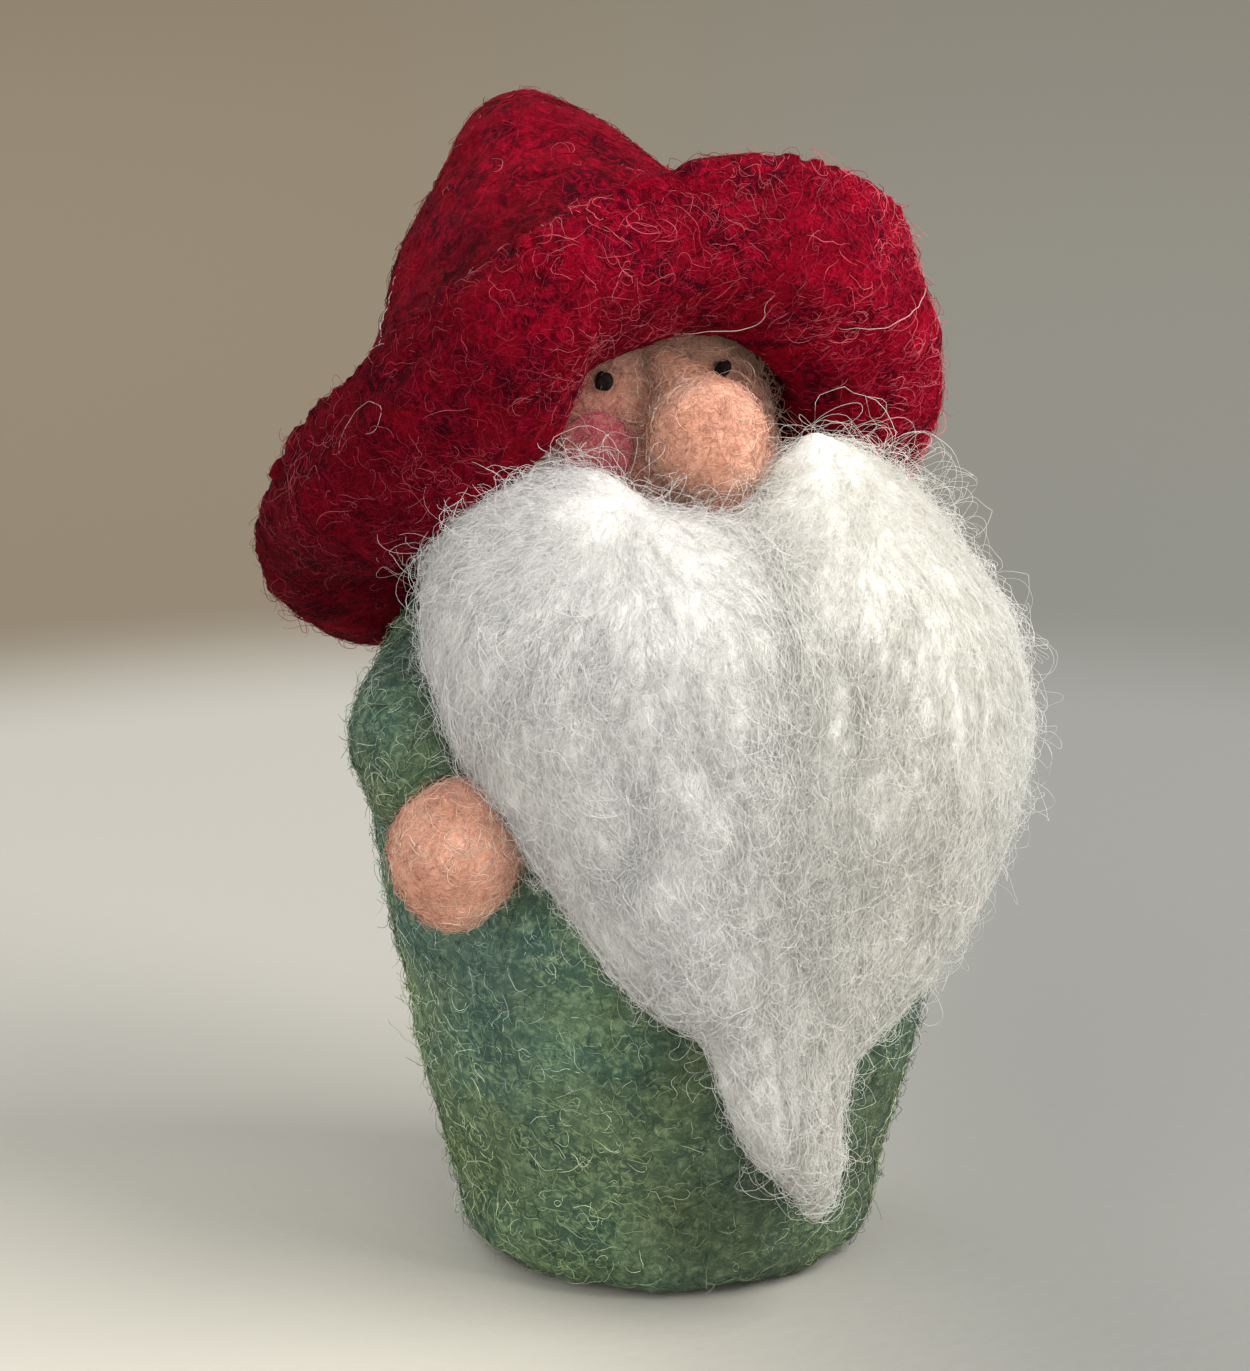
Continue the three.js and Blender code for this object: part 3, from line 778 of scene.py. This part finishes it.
# %% Felt and fibre materials
def felt_material(name, main, second, third, patches, streaks, depth, sheen, gloss=0.12, swirl=2.4):
    """Felt: mixed wools, a matted grain and a soft sheen.

    patches and streaks count how many of each fit in a metre. depth is the grain's height in mm, and
    swirl is how far the streaks are twisted.
    """
    made = bpy.data.materials.new(name)
    made.use_nodes = True
    tree = made.node_tree
    shader = tree.nodes["Principled BSDF"]
    wool = add_node(tree, "ShaderNodeGroup", node_tree=mixed_wool)
    for label, value in (("Main wool", main), ("Second wool", second), ("Third wool", third)):
        wool.inputs[label].default_value = (*value, 1)
    wool.inputs["Patches per m"].default_value = patches
    wool.inputs["Streaks per m"].default_value = streaks
    wool.inputs["Swirl"].default_value = swirl
    grain = add_node(tree, "ShaderNodeGroup", node_tree=matted_grain)
    bump = add_node(tree, "ShaderNodeBump", {"Height": grain.outputs[0], "Distance": depth * MM})
    tint = add_node(tree, "ShaderNodeAttribute", attribute_name="felt_tint_and_shade").outputs["Color"]
    tinted = mix_colours(tree, 1.0, wool.outputs["Color"], tint, "MULTIPLY")
    tree.links.new(tinted, shader.inputs["Base Color"])
    tree.links.new(wool.outputs["Roughness"], shader.inputs["Roughness"])
    tree.links.new(bump.outputs["Normal"], shader.inputs["Normal"])
    shader.inputs["Specular IOR Level"].default_value = gloss
    shader.inputs["Sheen Weight"].default_value = sheen
    shader.inputs["Sheen Roughness"].default_value = 0.5
    made.diffuse_color = (*main, 1)
    return made


def soft_inside(shader, weight):
    """Light goes a little way into white wool and comes out again."""
    shader.inputs["Subsurface Weight"].default_value = weight
    shader.inputs["Subsurface Radius"].default_value = (1.0, 1.0, 0.9)
    shader.inputs["Subsurface Scale"].default_value = 1.2 * MM


def fibre_material(name, sheen, roughness, gloss, glow=0.0):
    """Fibres take their shade from their own points, with a finer change of tone along them."""
    made = bpy.data.materials.new(name)
    made.use_nodes = True
    tree = made.node_tree
    shader = tree.nodes["Principled BSDF"]
    own = add_node(tree, "ShaderNodeAttribute", attribute_name="fibre_shade")
    where = add_node(tree, "ShaderNodeTexCoord").outputs["Object"]
    tone = add_node(tree, "ShaderNodeTexNoise", {"Vector": where, "Scale": 1500.0, "Detail": 2.0})
    range_of_tone = add_node(tree, "ShaderNodeMapRange", {
        "Value": tone.outputs[0], "From Min": 0.3, "From Max": 0.7, "To Min": 0.82, "To Max": 1.0,
    })
    shaded = mix_colours(tree, 1.0, own.outputs["Color"], range_of_tone.outputs[0], "MULTIPLY")
    tree.links.new(shaded, shader.inputs["Base Color"])
    shader.inputs["Roughness"].default_value = roughness
    shader.inputs["Specular IOR Level"].default_value = gloss
    shader.inputs["Sheen Weight"].default_value = sheen
    if glow:
        soft_inside(shader, glow)
    return made


# %% [markdown]
# ## The wools of this figurine
# Each felt has a main colour, a second one in patches and a third one in streaks. Patches on the coat
# are large, as a maker lays them down in handfuls. Those on the small pieces are tiny. Red and black
# wool have no sheen, and undyed wool has the most.

# %% Wools
green_felt = felt_material(
    "green_felt", (0.075, 0.118, 0.070), (0.042, 0.080, 0.058), (0.150, 0.215, 0.125),
    patches=110, streaks=1100, depth=0.4, sheen=0.05, swirl=0.9)
red_felt = felt_material(
    "red_felt", (0.200, 0.000, 0.008), (0.060, 0.000, 0.006), (0.320, 0.001, 0.018),
    patches=230, streaks=600, depth=0.5, sheen=0.0, gloss=0.05)
skin_felt = felt_material(
    "skin_felt", (0.640, 0.320, 0.220), (0.580, 0.265, 0.175), (0.710, 0.395, 0.290),
    patches=220, streaks=1100, depth=0.2, sheen=0.1)
pink_felt = felt_material(
    "pink_felt", (0.470, 0.105, 0.125), (0.420, 0.065, 0.095), (0.560, 0.200, 0.170),
    patches=500, streaks=1300, depth=0.2, sheen=0.05)
black_felt = felt_material(
    "black_felt", (0.014, 0.009, 0.008), (0.030, 0.018, 0.014), (0.008, 0.006, 0.006),
    patches=500, streaks=1500, depth=0.15, sheen=0.0)
core_felt = felt_material(
    "core_felt", (0.700, 0.660, 0.560), (0.600, 0.560, 0.470), (0.780, 0.750, 0.680),
    patches=120, streaks=700, depth=0.35, sheen=0.3)
white_wool = felt_material(
    "white_wool", (0.860, 0.850, 0.810), (0.800, 0.790, 0.740), (0.900, 0.900, 0.880),
    patches=100, streaks=600, depth=0.3, sheen=0.1)
green_fibre = fibre_material("green_fibre", sheen=0.05, roughness=0.7, gloss=0.2)
red_fibre = fibre_material("red_fibre", sheen=0.0, roughness=0.8, gloss=0.06)
skin_fibre = fibre_material("skin_fibre", sheen=0.1, roughness=0.7, gloss=0.2)
white_fibre = fibre_material("white_fibre", sheen=0.25, roughness=0.6, gloss=0.2, glow=0.5)
soft_inside(white_wool.node_tree.nodes["Principled BSDF"], 0.5)
print("the wools are mixed:", ", ".join(sorted(made.name for made in bpy.data.materials)))

# %% [markdown]
# ## Wool onto the pieces
# Each piece takes its felt and its tint. The table also lists a slot for each piece and, for stuffed
# pieces, the share of them that is wool: the beard is loose, so half of it is air.

# %% Felt onto the pieces
for piece, material, slot, fill, tint in (
    (coat, green_felt, "green_wool", 1.0, coat_patches_and_light),
    (sleeve_right, green_felt, "green_wool", 1.0, coat_patches_and_light),
    (sleeve_left, green_felt, "green_wool", 1.0, coat_patches_and_light),
    (hand_right, skin_felt, "skin_wool", 1.0, plain_tint),
    (hand_left, skin_felt, "skin_wool", 1.0, plain_tint),
    (face, skin_felt, "skin_wool", None, face_painted_shade),
    (nose, skin_felt, "skin_wool", 1.0, nose_painted_shade),
    (eye_right, black_felt, "black_wool", None, plain_tint),
    (eye_left, black_felt, "black_wool", None, plain_tint),
    (cheek_right, pink_felt, "pink_wool", None, plain_tint),
    (cheek_left, pink_felt, "pink_wool", None, plain_tint),
    (hat, red_felt, "red_felt", None, hat_shade_and_mottle),
    (beard, white_wool, "beard_wool", 0.5, plain_tint),
):
    piece.data.materials.append(material)
    paint_tint(piece, tint)
for node in ("body_core", "head_core"):
    paint_tint(nodes[node], plain_tint)
    nodes[node].data.materials.clear()
    nodes[node].data.materials.append(core_felt)
print("every piece and both cores have their felt")

# %% [markdown]
# ## Shades of a fibre
# A fibre takes one of the dyed wools in the mix, a little lighter or darker than its neighbours. Part
# of the choice is left to chance and part comes from where the fibre lies, because a carder never
# mixes wools completely.

# %% Shades
def dyed(wools, weights, places, size, seed, rng, chance=0.35, spread=0.18):
    """A shade for each fibre: its wool depends on the patch it lies in and on chance."""
    wools = np.array(wools)
    weights = np.array(weights) / np.sum(weights)
    patch = (lumps(places, size, seed) + 1) / 2
    draw = (1 - chance) * patch + chance * rng.random(len(places))
    order = np.argsort(np.argsort(draw)) / len(draw)
    chosen = np.searchsorted(np.cumsum(weights), order).clip(0, len(wools) - 1)
    tone = rng.uniform(1 - spread, 1 + spread, (len(places), 1))
    return np.clip(wools[chosen] * tone, 0, 0.95)


share_of_fibres = 1.0


def web(name, piece, count, slot, material, wools, weights, seed, keep=None,
        steps=11, stride=0.42, curl=0.5, lift=0.16, crimp=0.1, radius=0.036, size=9.0,
        tint=plain_tint, chance=0.35):
    """A web of short curly fibres over a felt piece.

    A fibre takes so many steps of stride mm and turns by up to about curl radians in each. lift is
    how far it stands off the felt in mm, crimp is the height of its small waves, and size is how
    large the patches of one shade are.
    """
    rng = np.random.default_rng(seed)
    count = int(count * share_of_fibres)
    tree, places, corners = felt_tree(piece)
    start, facing = scatter(places, corners, count, rng, keep)
    heading = unit(rng.normal(size=start.shape))
    rows, ups = walk(tree, start, facing, heading, steps, stride, curl, rng)
    along = np.linspace(0, 1, steps)[None, :]
    arch = np.sin(np.pi * along) ** 0.7
    one_end = rng.random((count, 1)) < 0.35  # these stand up at one end, the others lie in an arch
    free_end = along ** 2 * 1.6
    height = lift * rng.exponential(1.0, (count, 1)).clip(0.15, 4.0)
    rooted = 0.05  # both ends go this far into the felt
    rise = np.where(one_end, free_end, arch) * height - rooted
    paths = lifted(rows, ups, rise, crimp, 1.9, rng)
    shades = np.clip(dyed(wools, weights, start, size, seed, rng, chance) * tint(start), 0, 0.95)
    bundles(name, paths, taper(count, steps, radius, rng), shades, piece["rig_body"], material)

# %% [markdown]
# ## The green coat and sleeves
# The coat is wool of several greens, with a curly pale web on top. The web is thin and lies close to
# the felt, so that the mottled wool under it still shows.

# %% Green web
green_wools = [
    (0.024, 0.050, 0.036), (0.050, 0.095, 0.070), (0.110, 0.165, 0.100), (0.185, 0.265, 0.155),
    (0.300, 0.390, 0.245), (0.500, 0.590, 0.450),
]
green_weights = [2.0, 2.0, 2.4, 2.6, 2.4, 2.2]


def outside_of_coat(places, facing):
    """1 where the coat can be seen, and 0 on its inside and where the head sits."""
    middle_x = -4 * ramp(places[:, 2], 22, 61)
    middle_y = 7 * ramp(places[:, 2], 22, 61)
    outward = facing[:, 0] * (places[:, 0] - middle_x) + facing[:, 1] * (places[:, 1] - middle_y)
    return ((outward > 0) & (places[:, 2] > 0.8)).astype(float)


thin = {
    "steps": 10, "stride": 0.40, "curl": 0.62, "lift": 0.24, "radius": 0.029, "chance": 0.75,
    "tint": coat_patches_and_light,
}
for name, piece, count, seed, keep in (
    ("coat_fibres", coat, 12500, 11, outside_of_coat),
    ("sleeve_right_fibres", sleeve_right, 1700, 12, None),
    ("sleeve_left_fibres", sleeve_left, 1300, 13, None),
):
    web(name, piece, count, "green_wool", green_fibre, green_wools, green_weights, seed, keep, **thin)

# %% [markdown]
# ## The red hat
# The hat is thick wet-felted wool, dark crimson with brighter and darker fibres pressed into it. Its
# rim is worn fuzzy, and the fuzz there takes only the lighter reds as a painted highlight along the
# edge. Pinkish fibres lie on the front of the brim, so these two places get webs of their own on top
# of the first.

# %% Red web
red_wools = [
    (0.030, 0.000, 0.004), (0.085, 0.000, 0.008), (0.170, 0.000, 0.008), (0.270, 0.001, 0.014),
    (0.400, 0.006, 0.032), (0.620, 0.120, 0.145),
]
red_weights = [0.9, 1.6, 3.0, 3.4, 2.2, 0.3]
# Painted highlight: the rim's fuzz takes only the lighter reds.
rim_highlight_weights = [0, 0, 1, 2, 3, 2.5]
pink_reds = [(0.330, 0.008, 0.030), (0.460, 0.030, 0.062), (0.600, 0.130, 0.160)]
inside_crown = 19.5  # from the middle of the head, in mm


def outside_of_head(places, facing):
    """0 inside the crown, where the head is, and 1 elsewhere."""
    off = places - head_middle
    reach = np.linalg.norm(off, axis=1)
    towards = (facing * off).sum(1)
    return 1.0 - ((reach < inside_crown) & (towards < 0))


def rim_of_hat(places, facing):
    """1 along the brim's edge, where lighter fibres make a painted highlight."""
    off = places - head_middle
    reach = np.hypot(off[:, 0], off @ hat_back)
    return ramp(reach, 25, 30)


def front_of_brim(places, facing):
    """1 on the brim's front, up to its edge, where pinkish fibres lie on the red."""
    off = places - head_middle
    back = off @ hat_back
    reach = np.hypot(off[:, 0], back)
    below = ramp(-(facing @ hat_up), -0.35, 0.2)
    return ramp(reach, 21, 27) * below * ramp(-back, -12, 2) + 0.03


web(
    "hat_fibres", hat, 11500, "red_felt", red_fibre, red_wools, red_weights, 21, outside_of_head,
    steps=10, radius=0.028, size=3.0, lift=0.13, tint=hat_shade_and_mottle)
web(
    "hat_rim_highlight_fibres", hat, 1300, "red_felt", red_fibre, red_wools, rim_highlight_weights, 22, rim_of_hat,
    steps=12, radius=0.024, size=3.0, lift=0.35, tint=hat_shade_and_mottle)
web(
    "hat_pink_fibres", hat, 4200, "red_felt", red_fibre, pink_reds, [3, 3, 1.2], 23, front_of_brim,
    steps=9, stride=0.38, curl=0.45, radius=0.020, size=4.0, lift=0.26, tint=hat_shade_and_mottle)

# %% [markdown]
# ## Hands, nose and face
# The skin is a fine peach wool. Its fibres are shorter and finer, and a few stand off as fuzz. The
# blush is pink wool that lies over the peach and thins out towards its edge, and a few dark fibres
# paint the shade in the crease beside the nose.

# %% Skin web
skin_wools = [
    (0.560, 0.250, 0.165), (0.640, 0.320, 0.215), (0.710, 0.390, 0.270), (0.790, 0.490, 0.360),
    (0.860, 0.660, 0.540),
]
skin_weights = [0.8, 2.0, 3.0, 2.5, 1.2]
fine = {"steps": 10, "stride": 0.36, "lift": 0.2, "radius": 0.030, "size": 3.0}
for name, piece, count, seed in (
    ("hand_right_fibres", hand_right, 2400, 31), ("hand_left_fibres", hand_left, 1800, 32),
    ("nose_fibres", nose, 2000, 33),
):
    web(name, piece, count, "skin_wool", skin_fibre, skin_wools, skin_weights, seed, **fine)


def front_of_face(places, facing):
    """1 on the part of the face that the hat and beard leave open."""
    off = places - head_middle
    return ((facing * off).sum(1) > 0) * (off[:, 1] < -7) * (off[:, 2] > -4)


web(
    "face_fibres", face, 1600, "skin_wool", skin_fibre, skin_wools, skin_weights, 34, front_of_face,
    tint=face_painted_shade, **fine)

# %% Crease and blush
crease = np.array([-9.2, -12.5, 80.2])
# Painted shade: dark fibres in the crease beside the nose.
crease_shade_wools = [(0.300, 0.110, 0.060), (0.420, 0.170, 0.100)]


def near_crease(places, facing):
    """1 in the short crease beside the nose, where dark fibres are its painted shade."""
    off = (places - crease) / [[1.0, 1.6, 2.4]]
    return np.exp(-(off ** 2).sum(1))


web(
    "nose_crease_shade", nose, 60, "skin_wool", skin_fibre, crease_shade_wools, [1, 1], 38, near_crease,
    steps=7, stride=0.3, lift=0.12, radius=0.034, size=3.0)
pink_wools = [(0.400, 0.050, 0.090), (0.500, 0.100, 0.130), (0.640, 0.260, 0.215)]
loose = {**fine, "steps": 12, "stride": 0.42, "curl": 0.3}


def near_cheeks(places, facing):
    """1 in the middle of each cheek, fading to 0 on the skin round it."""
    beside, above, spread = 7.2, 3.2, 6.0  # where a cheek is from the head's middle, and how wide
    side = np.abs(places[:, 0] - head_middle[0]) - beside
    up = places[:, 2] - head_middle[2] - above
    return np.exp(-(side ** 2 + up ** 2) / spread) * front_of_face(places, facing)


for name, piece, count, weights, seed, keep in (
    ("face_blush", face, 420, [2, 3, 2], 37, near_cheeks),
    ("cheek_right_fibres", cheek_right, 170, [1, 2, 3], 35, None),
    ("cheek_left_fibres", cheek_left, 170, [1, 2, 3], 36, None),
):
    web(name, piece, count, "pink_wool", skin_fibre, pink_wools, weights, seed, keep, **loose)

# %% [markdown]
# ## Fuzz and strays
# Fine fuzz stands off the face and reaches over the hat's edge, and a few long pale fibres have
# strayed onto the coat and the hat. They are what tells the eye how small the figurine is.

# %% Fuzz and strays
fuzz_weights = [0.2, 0.6, 1.5, 3, 3]
web(
    "face_fuzz", face, 700, "skin_wool", skin_fibre, skin_wools, fuzz_weights, 51, front_of_face,
    steps=12, stride=0.42, curl=0.4, lift=1.0, crimp=0.12, radius=0.022, size=3.0)


def under_hat_edge(places, facing):
    """1 on the upper face, where loose fuzz reaches out over the hat's edge."""
    off = places - head_middle
    up = off @ hat_up
    return front_of_face(places, facing) * ramp(up, -2, 5) * (1 - ramp(up, 6, 9))


web(
    "brow_fuzz", face, 420, "skin_wool", skin_fibre, skin_wools, fuzz_weights, 54, under_hat_edge,
    steps=12, stride=0.40, curl=0.5, lift=1.3, crimp=0.12, radius=0.020, size=3.0, tint=face_painted_shade)
pale_wools = [(0.62, 0.42, 0.38), (0.78, 0.66, 0.58)]
pale_greens = [(0.50, 0.56, 0.40), (0.66, 0.70, 0.55)]
stray = {"steps": 34, "stride": 0.36, "lift": 0.6, "crimp": 0.10, "radius": 0.036}
web(
    "hat_strays", hat, 18, "red_felt", red_fibre, pale_wools, [2, 1], 52, outside_of_head,
    curl=0.22, **stray)
web(
    "coat_strays", coat, 22, "green_wool", green_fibre, pale_greens, [2, 1], 53, outside_of_coat,
    curl=0.16, **stray)

# %% [markdown]
# ## Combed fibres on the beard
# Three layers make the beard: combed fibres that follow the lines, tangled ones that cross them, and
# a lace of fine curls that stands off and softens the outline. A few wisps at the top spread over the
# cheeks.

# %% Beard fibres
def beard_tones_and_light(places, rng):
    """Painted shade greys the gnome's right side and painted light brightens its left; the ivory in the
    middle is the wool's own.
    """
    # Painted shade on the gnome's right and painted light on its left, over ivory wool.
    side = ramp(places[:, 0], -18, 8)[:, None]
    grey = np.array([[0.88, 0.87, 0.84]])
    ivory = np.array([[0.91, 0.89, 0.80]])
    bright = np.array([[0.92, 0.91, 0.85]])
    base = grey * (1 - side) + ivory * side
    base = base + (bright - base) * ramp(places[:, 0], 10, 26)[:, None]
    patch = 0.05 * lumps(places, 6.0, 5)[:, None]
    return np.clip(base * rng.uniform(0.90, 1.06, (len(places), 1)) + patch, 0, 0.96)


def front_of_beard(places, facing):
    """1 on the beard's open side, and little on the side that lies on the coat."""
    outward = unit(places * [[1, 1, 0]])
    return np.where((facing * outward).sum(1) > -0.25, 1.0, 0.02)


def wavy_flow(places):
    """The combing direction, with soft swirls in it."""
    swirl = np.stack([lumps(places, 4.0, 70 + i) for i in range(3)], 1)
    return unit(combed(places) + 0.42 * swirl)


beard_tree, beard_places, beard_corners = felt_tree(beard)


def comb(name, count, seed, steps, stride, curl, lift, crimp, radius, follow, keep=front_of_beard):
    """Combed fibres over the beard. follow is how strongly each step turns to the combing lines."""
    rng = np.random.default_rng(seed)
    count = int(count * share_of_fibres)
    start, facing = scatter(beard_places, beard_corners, count, rng, keep)
    heading = unit(wavy_flow(start) + (0.5 - follow) * rng.normal(size=start.shape))
    long = stride * rng.uniform(0.6, 1.4, count)
    rows, ups = walk(beard_tree, start, facing, heading, steps, long, curl, rng, wavy_flow, follow)
    along = np.linspace(0, 1, steps)[None, :]
    height = lift * rng.exponential(1.0, (count, 1)).clip(0.05, 3.5)
    rooted = 0.1  # both ends go this far into the wool
    rise = np.sin(np.pi * along ** 0.8) ** 0.6 * height - rooted
    paths = lifted(rows, ups, rise, crimp, 2.6, rng)
    shades = beard_tones_and_light(start, rng)
    bundles(name, paths, taper(count, steps, radius, rng), shades, "body", white_fibre)


def top_of_beard(places, facing):
    """1 along the beard's upper edge, where its wool spreads over the cheeks."""
    return front_of_beard(places, facing) * ramp(places[:, 2], 66, 74)


comb("beard_combed", 15500, 41,
     steps=13, stride=0.70, curl=0.16, lift=0.30, crimp=0.15, radius=0.026, follow=0.34)
comb("beard_tangled", 9000, 42,
     steps=12, stride=0.50, curl=0.34, lift=0.62, crimp=0.13, radius=0.021, follow=0.12)
comb("beard_lace", 2600, 43,
     steps=14, stride=0.42, curl=0.40, lift=1.05, crimp=0.12, radius=0.017, follow=0.05)
comb("beard_wisps", 1000, 44,
     steps=16, stride=0.45, curl=0.35, lift=1.45, crimp=0.18, radius=0.019, follow=0.02,
     keep=top_of_beard)

# %% [markdown]
# ## The table
# The figurine stands on a pale table by a window. One large disc is enough for the table and for
# the room behind it.

# %% Table
table_reach = 4  # metres
table_sides = 96
table_top = -0.2 * MM  # a hair below the figurine, so that the two never flicker
turns = np.linspace(0, 2 * math.pi, table_sides, endpoint=False)
rim = [(table_reach * math.cos(a), table_reach * math.sin(a), table_top) for a in turns]
table_mesh = bpy.data.meshes.new("table")
table_mesh.from_pydata(rim, [], [list(range(table_sides))])
table = bpy.data.objects.new("table", table_mesh)
bpy.context.scene.collection.objects.link(table)
print("the table is", 2 * table_reach, "m across")

# %% [markdown]
# ## Paint for the table and the room
# Near the figurine the disc is off-white, and further off it turns into the soft brown-grey of the
# room. Both go from warm on one side to cool on the other, towards the window. Light and shade are
# painted on as well: the table is lighter towards the front and darker on the window's side, and the
# room is darker near the table and lighter further off, to make up for the lamps' falloff.

# %% Table paint
near_ends, far_begins, far_ends = 0.185, 0.25, 1.2  # metres from the figurine
table_paint_and_light = bpy.data.materials.new("table_paint_and_light")
table_paint_and_light.use_nodes = True
paint_tree = table_paint_and_light.node_tree
where = add_node(paint_tree, "ShaderNodeTexCoord").outputs["Object"]
reach = add_node(paint_tree, "ShaderNodeVectorMath", {0: where}, operation="LENGTH")
far = add_node(paint_tree, "ShaderNodeMapRange", {
    "Value": reach.outputs["Value"], "From Min": near_ends, "From Max": far_begins,
}, interpolation_type="SMOOTHSTEP")
further = add_node(paint_tree, "ShaderNodeMapRange", {
    "Value": reach.outputs["Value"], "From Min": far_begins, "From Max": far_ends,
})


def across(direction, low, high):
    """A smooth ramp from 0 to 1 over the table in one direction, in metres."""
    along = add_node(
        paint_tree, "ShaderNodeVectorMath", {0: where, 1: direction}, operation="DOT_PRODUCT")
    return add_node(paint_tree, "ShaderNodeMapRange", {
        "Value": along.outputs["Value"], "From Min": low, "From Max": high,
    }, interpolation_type="SMOOTHSTEP").outputs[0]


to_window = (0.883, -0.469, 0.0)
towards_us = (-0.469, -0.883, 0.0)
# Painted light: the table is lighter towards the front.
left_paint_and_light = mix_colours(
    paint_tree, across(towards_us, -0.06, 0.0), (0.370, 0.357, 0.317, 1), (0.480, 0.460, 0.395, 1))
# Painted shade: the table is darker on the window's side.
near_paint_and_light = mix_colours(
    paint_tree, across(to_window, -0.035, 0.045), left_paint_and_light, (0.212, 0.213, 0.196, 1))
near_room = mix_colours(
    paint_tree, across(to_window, -0.07, 0.07), (0.168, 0.132, 0.084, 1), (0.157, 0.157, 0.137, 1))
far_room = mix_colours(
    paint_tree, across(to_window, -0.12, 0.12), (0.302, 0.235, 0.143, 1), (0.280, 0.252, 0.190, 1))
# Painted light: the room is lighter further off, to make up for the lamps' falloff.
room_paint_and_light = mix_colours(paint_tree, further.outputs[0], near_room, far_room)
paint = mix_colours(paint_tree, far.outputs[0], near_paint_and_light, room_paint_and_light)
speckle = add_node(paint_tree, "ShaderNodeTexNoise", {"Vector": where, "Scale": 500.0, "Detail": 6.0})
dents = add_node(paint_tree, "ShaderNodeBump", {
    "Height": speckle.outputs[0], "Distance": 0.2 * MM, "Strength": 0.4,
})
paint_shader = paint_tree.nodes["Principled BSDF"]
paint_tree.links.new(paint, paint_shader.inputs["Base Color"])
paint_tree.links.new(dents.outputs["Normal"], paint_shader.inputs["Normal"])
paint_shader.inputs["Roughness"].default_value = 0.75
table_mesh.materials.append(table_paint_and_light)
print("the paint turns into the room between", near_ends, "and", far_begins, "m out")

# %% [markdown]
# ## Light
# A big soft window stands to the gnome's left and a little in front, which gives the beard its bright
# side. Three weaker lights fill the shadows: the room, a low one in front, and one behind that draws
# the outline. The wall that shows above the far edge of the table has a colour of its own, so that
# it can be darker than the light that comes from it.

# %% Lights
lit_point = Vector((0, 0, 0.05))


def soft_light(name, place, size, power, colour):
    """A square window of light that looks at the figurine."""
    lamp = bpy.data.lights.new(name, "AREA")
    lamp.shape = "SQUARE"
    lamp.size = size
    lamp.energy = power
    lamp.color = colour
    made = bpy.data.objects.new(name, lamp)
    made.location = place
    made.rotation_euler = (Vector(place) - lit_point).to_track_quat("Z", "Y").to_euler()
    bpy.context.scene.collection.objects.link(made)


soft_light("window", (0.40, -0.48, 0.68), size=0.6, power=11.2, colour=(1.0, 0.98, 0.95))
soft_light("room", (-0.6, -0.35, 0.45), size=0.6, power=2.4, colour=(0.97, 0.98, 1.0))
soft_light("front", (-0.22, -0.85, 0.04), size=0.6, power=4.5, colour=(1.0, 0.99, 0.97))
soft_light("behind", (-0.2, 0.7, 0.6), size=0.5, power=2.0, colour=(1.0, 1.0, 1.0))

# %% Light of the room
world = bpy.data.worlds.new("room_light")
world.use_nodes = True
room_tree = world.node_tree
light_of_room = room_tree.nodes["Background"]
light_of_room.inputs["Color"].default_value = (0.80, 0.80, 0.80, 1)
light_of_room.inputs["Strength"].default_value = 0.78
wall = add_node(room_tree, "ShaderNodeBackground", {"Color": (0.300, 0.262, 0.200, 1), "Strength": 1.0})
seen = add_node(room_tree, "ShaderNodeLightPath").outputs["Is Camera Ray"]
both = add_node(room_tree, "ShaderNodeMixShader", {0: seen})
room_tree.links.new(light_of_room.outputs[0], both.inputs[1])
room_tree.links.new(wall.outputs[0], both.inputs[2])
room_tree.links.new(both.outputs[0], room_tree.nodes["World Output"].inputs["Surface"])
bpy.context.scene.world = world
print("lights:", ", ".join(lamp.name for lamp in bpy.data.lights))
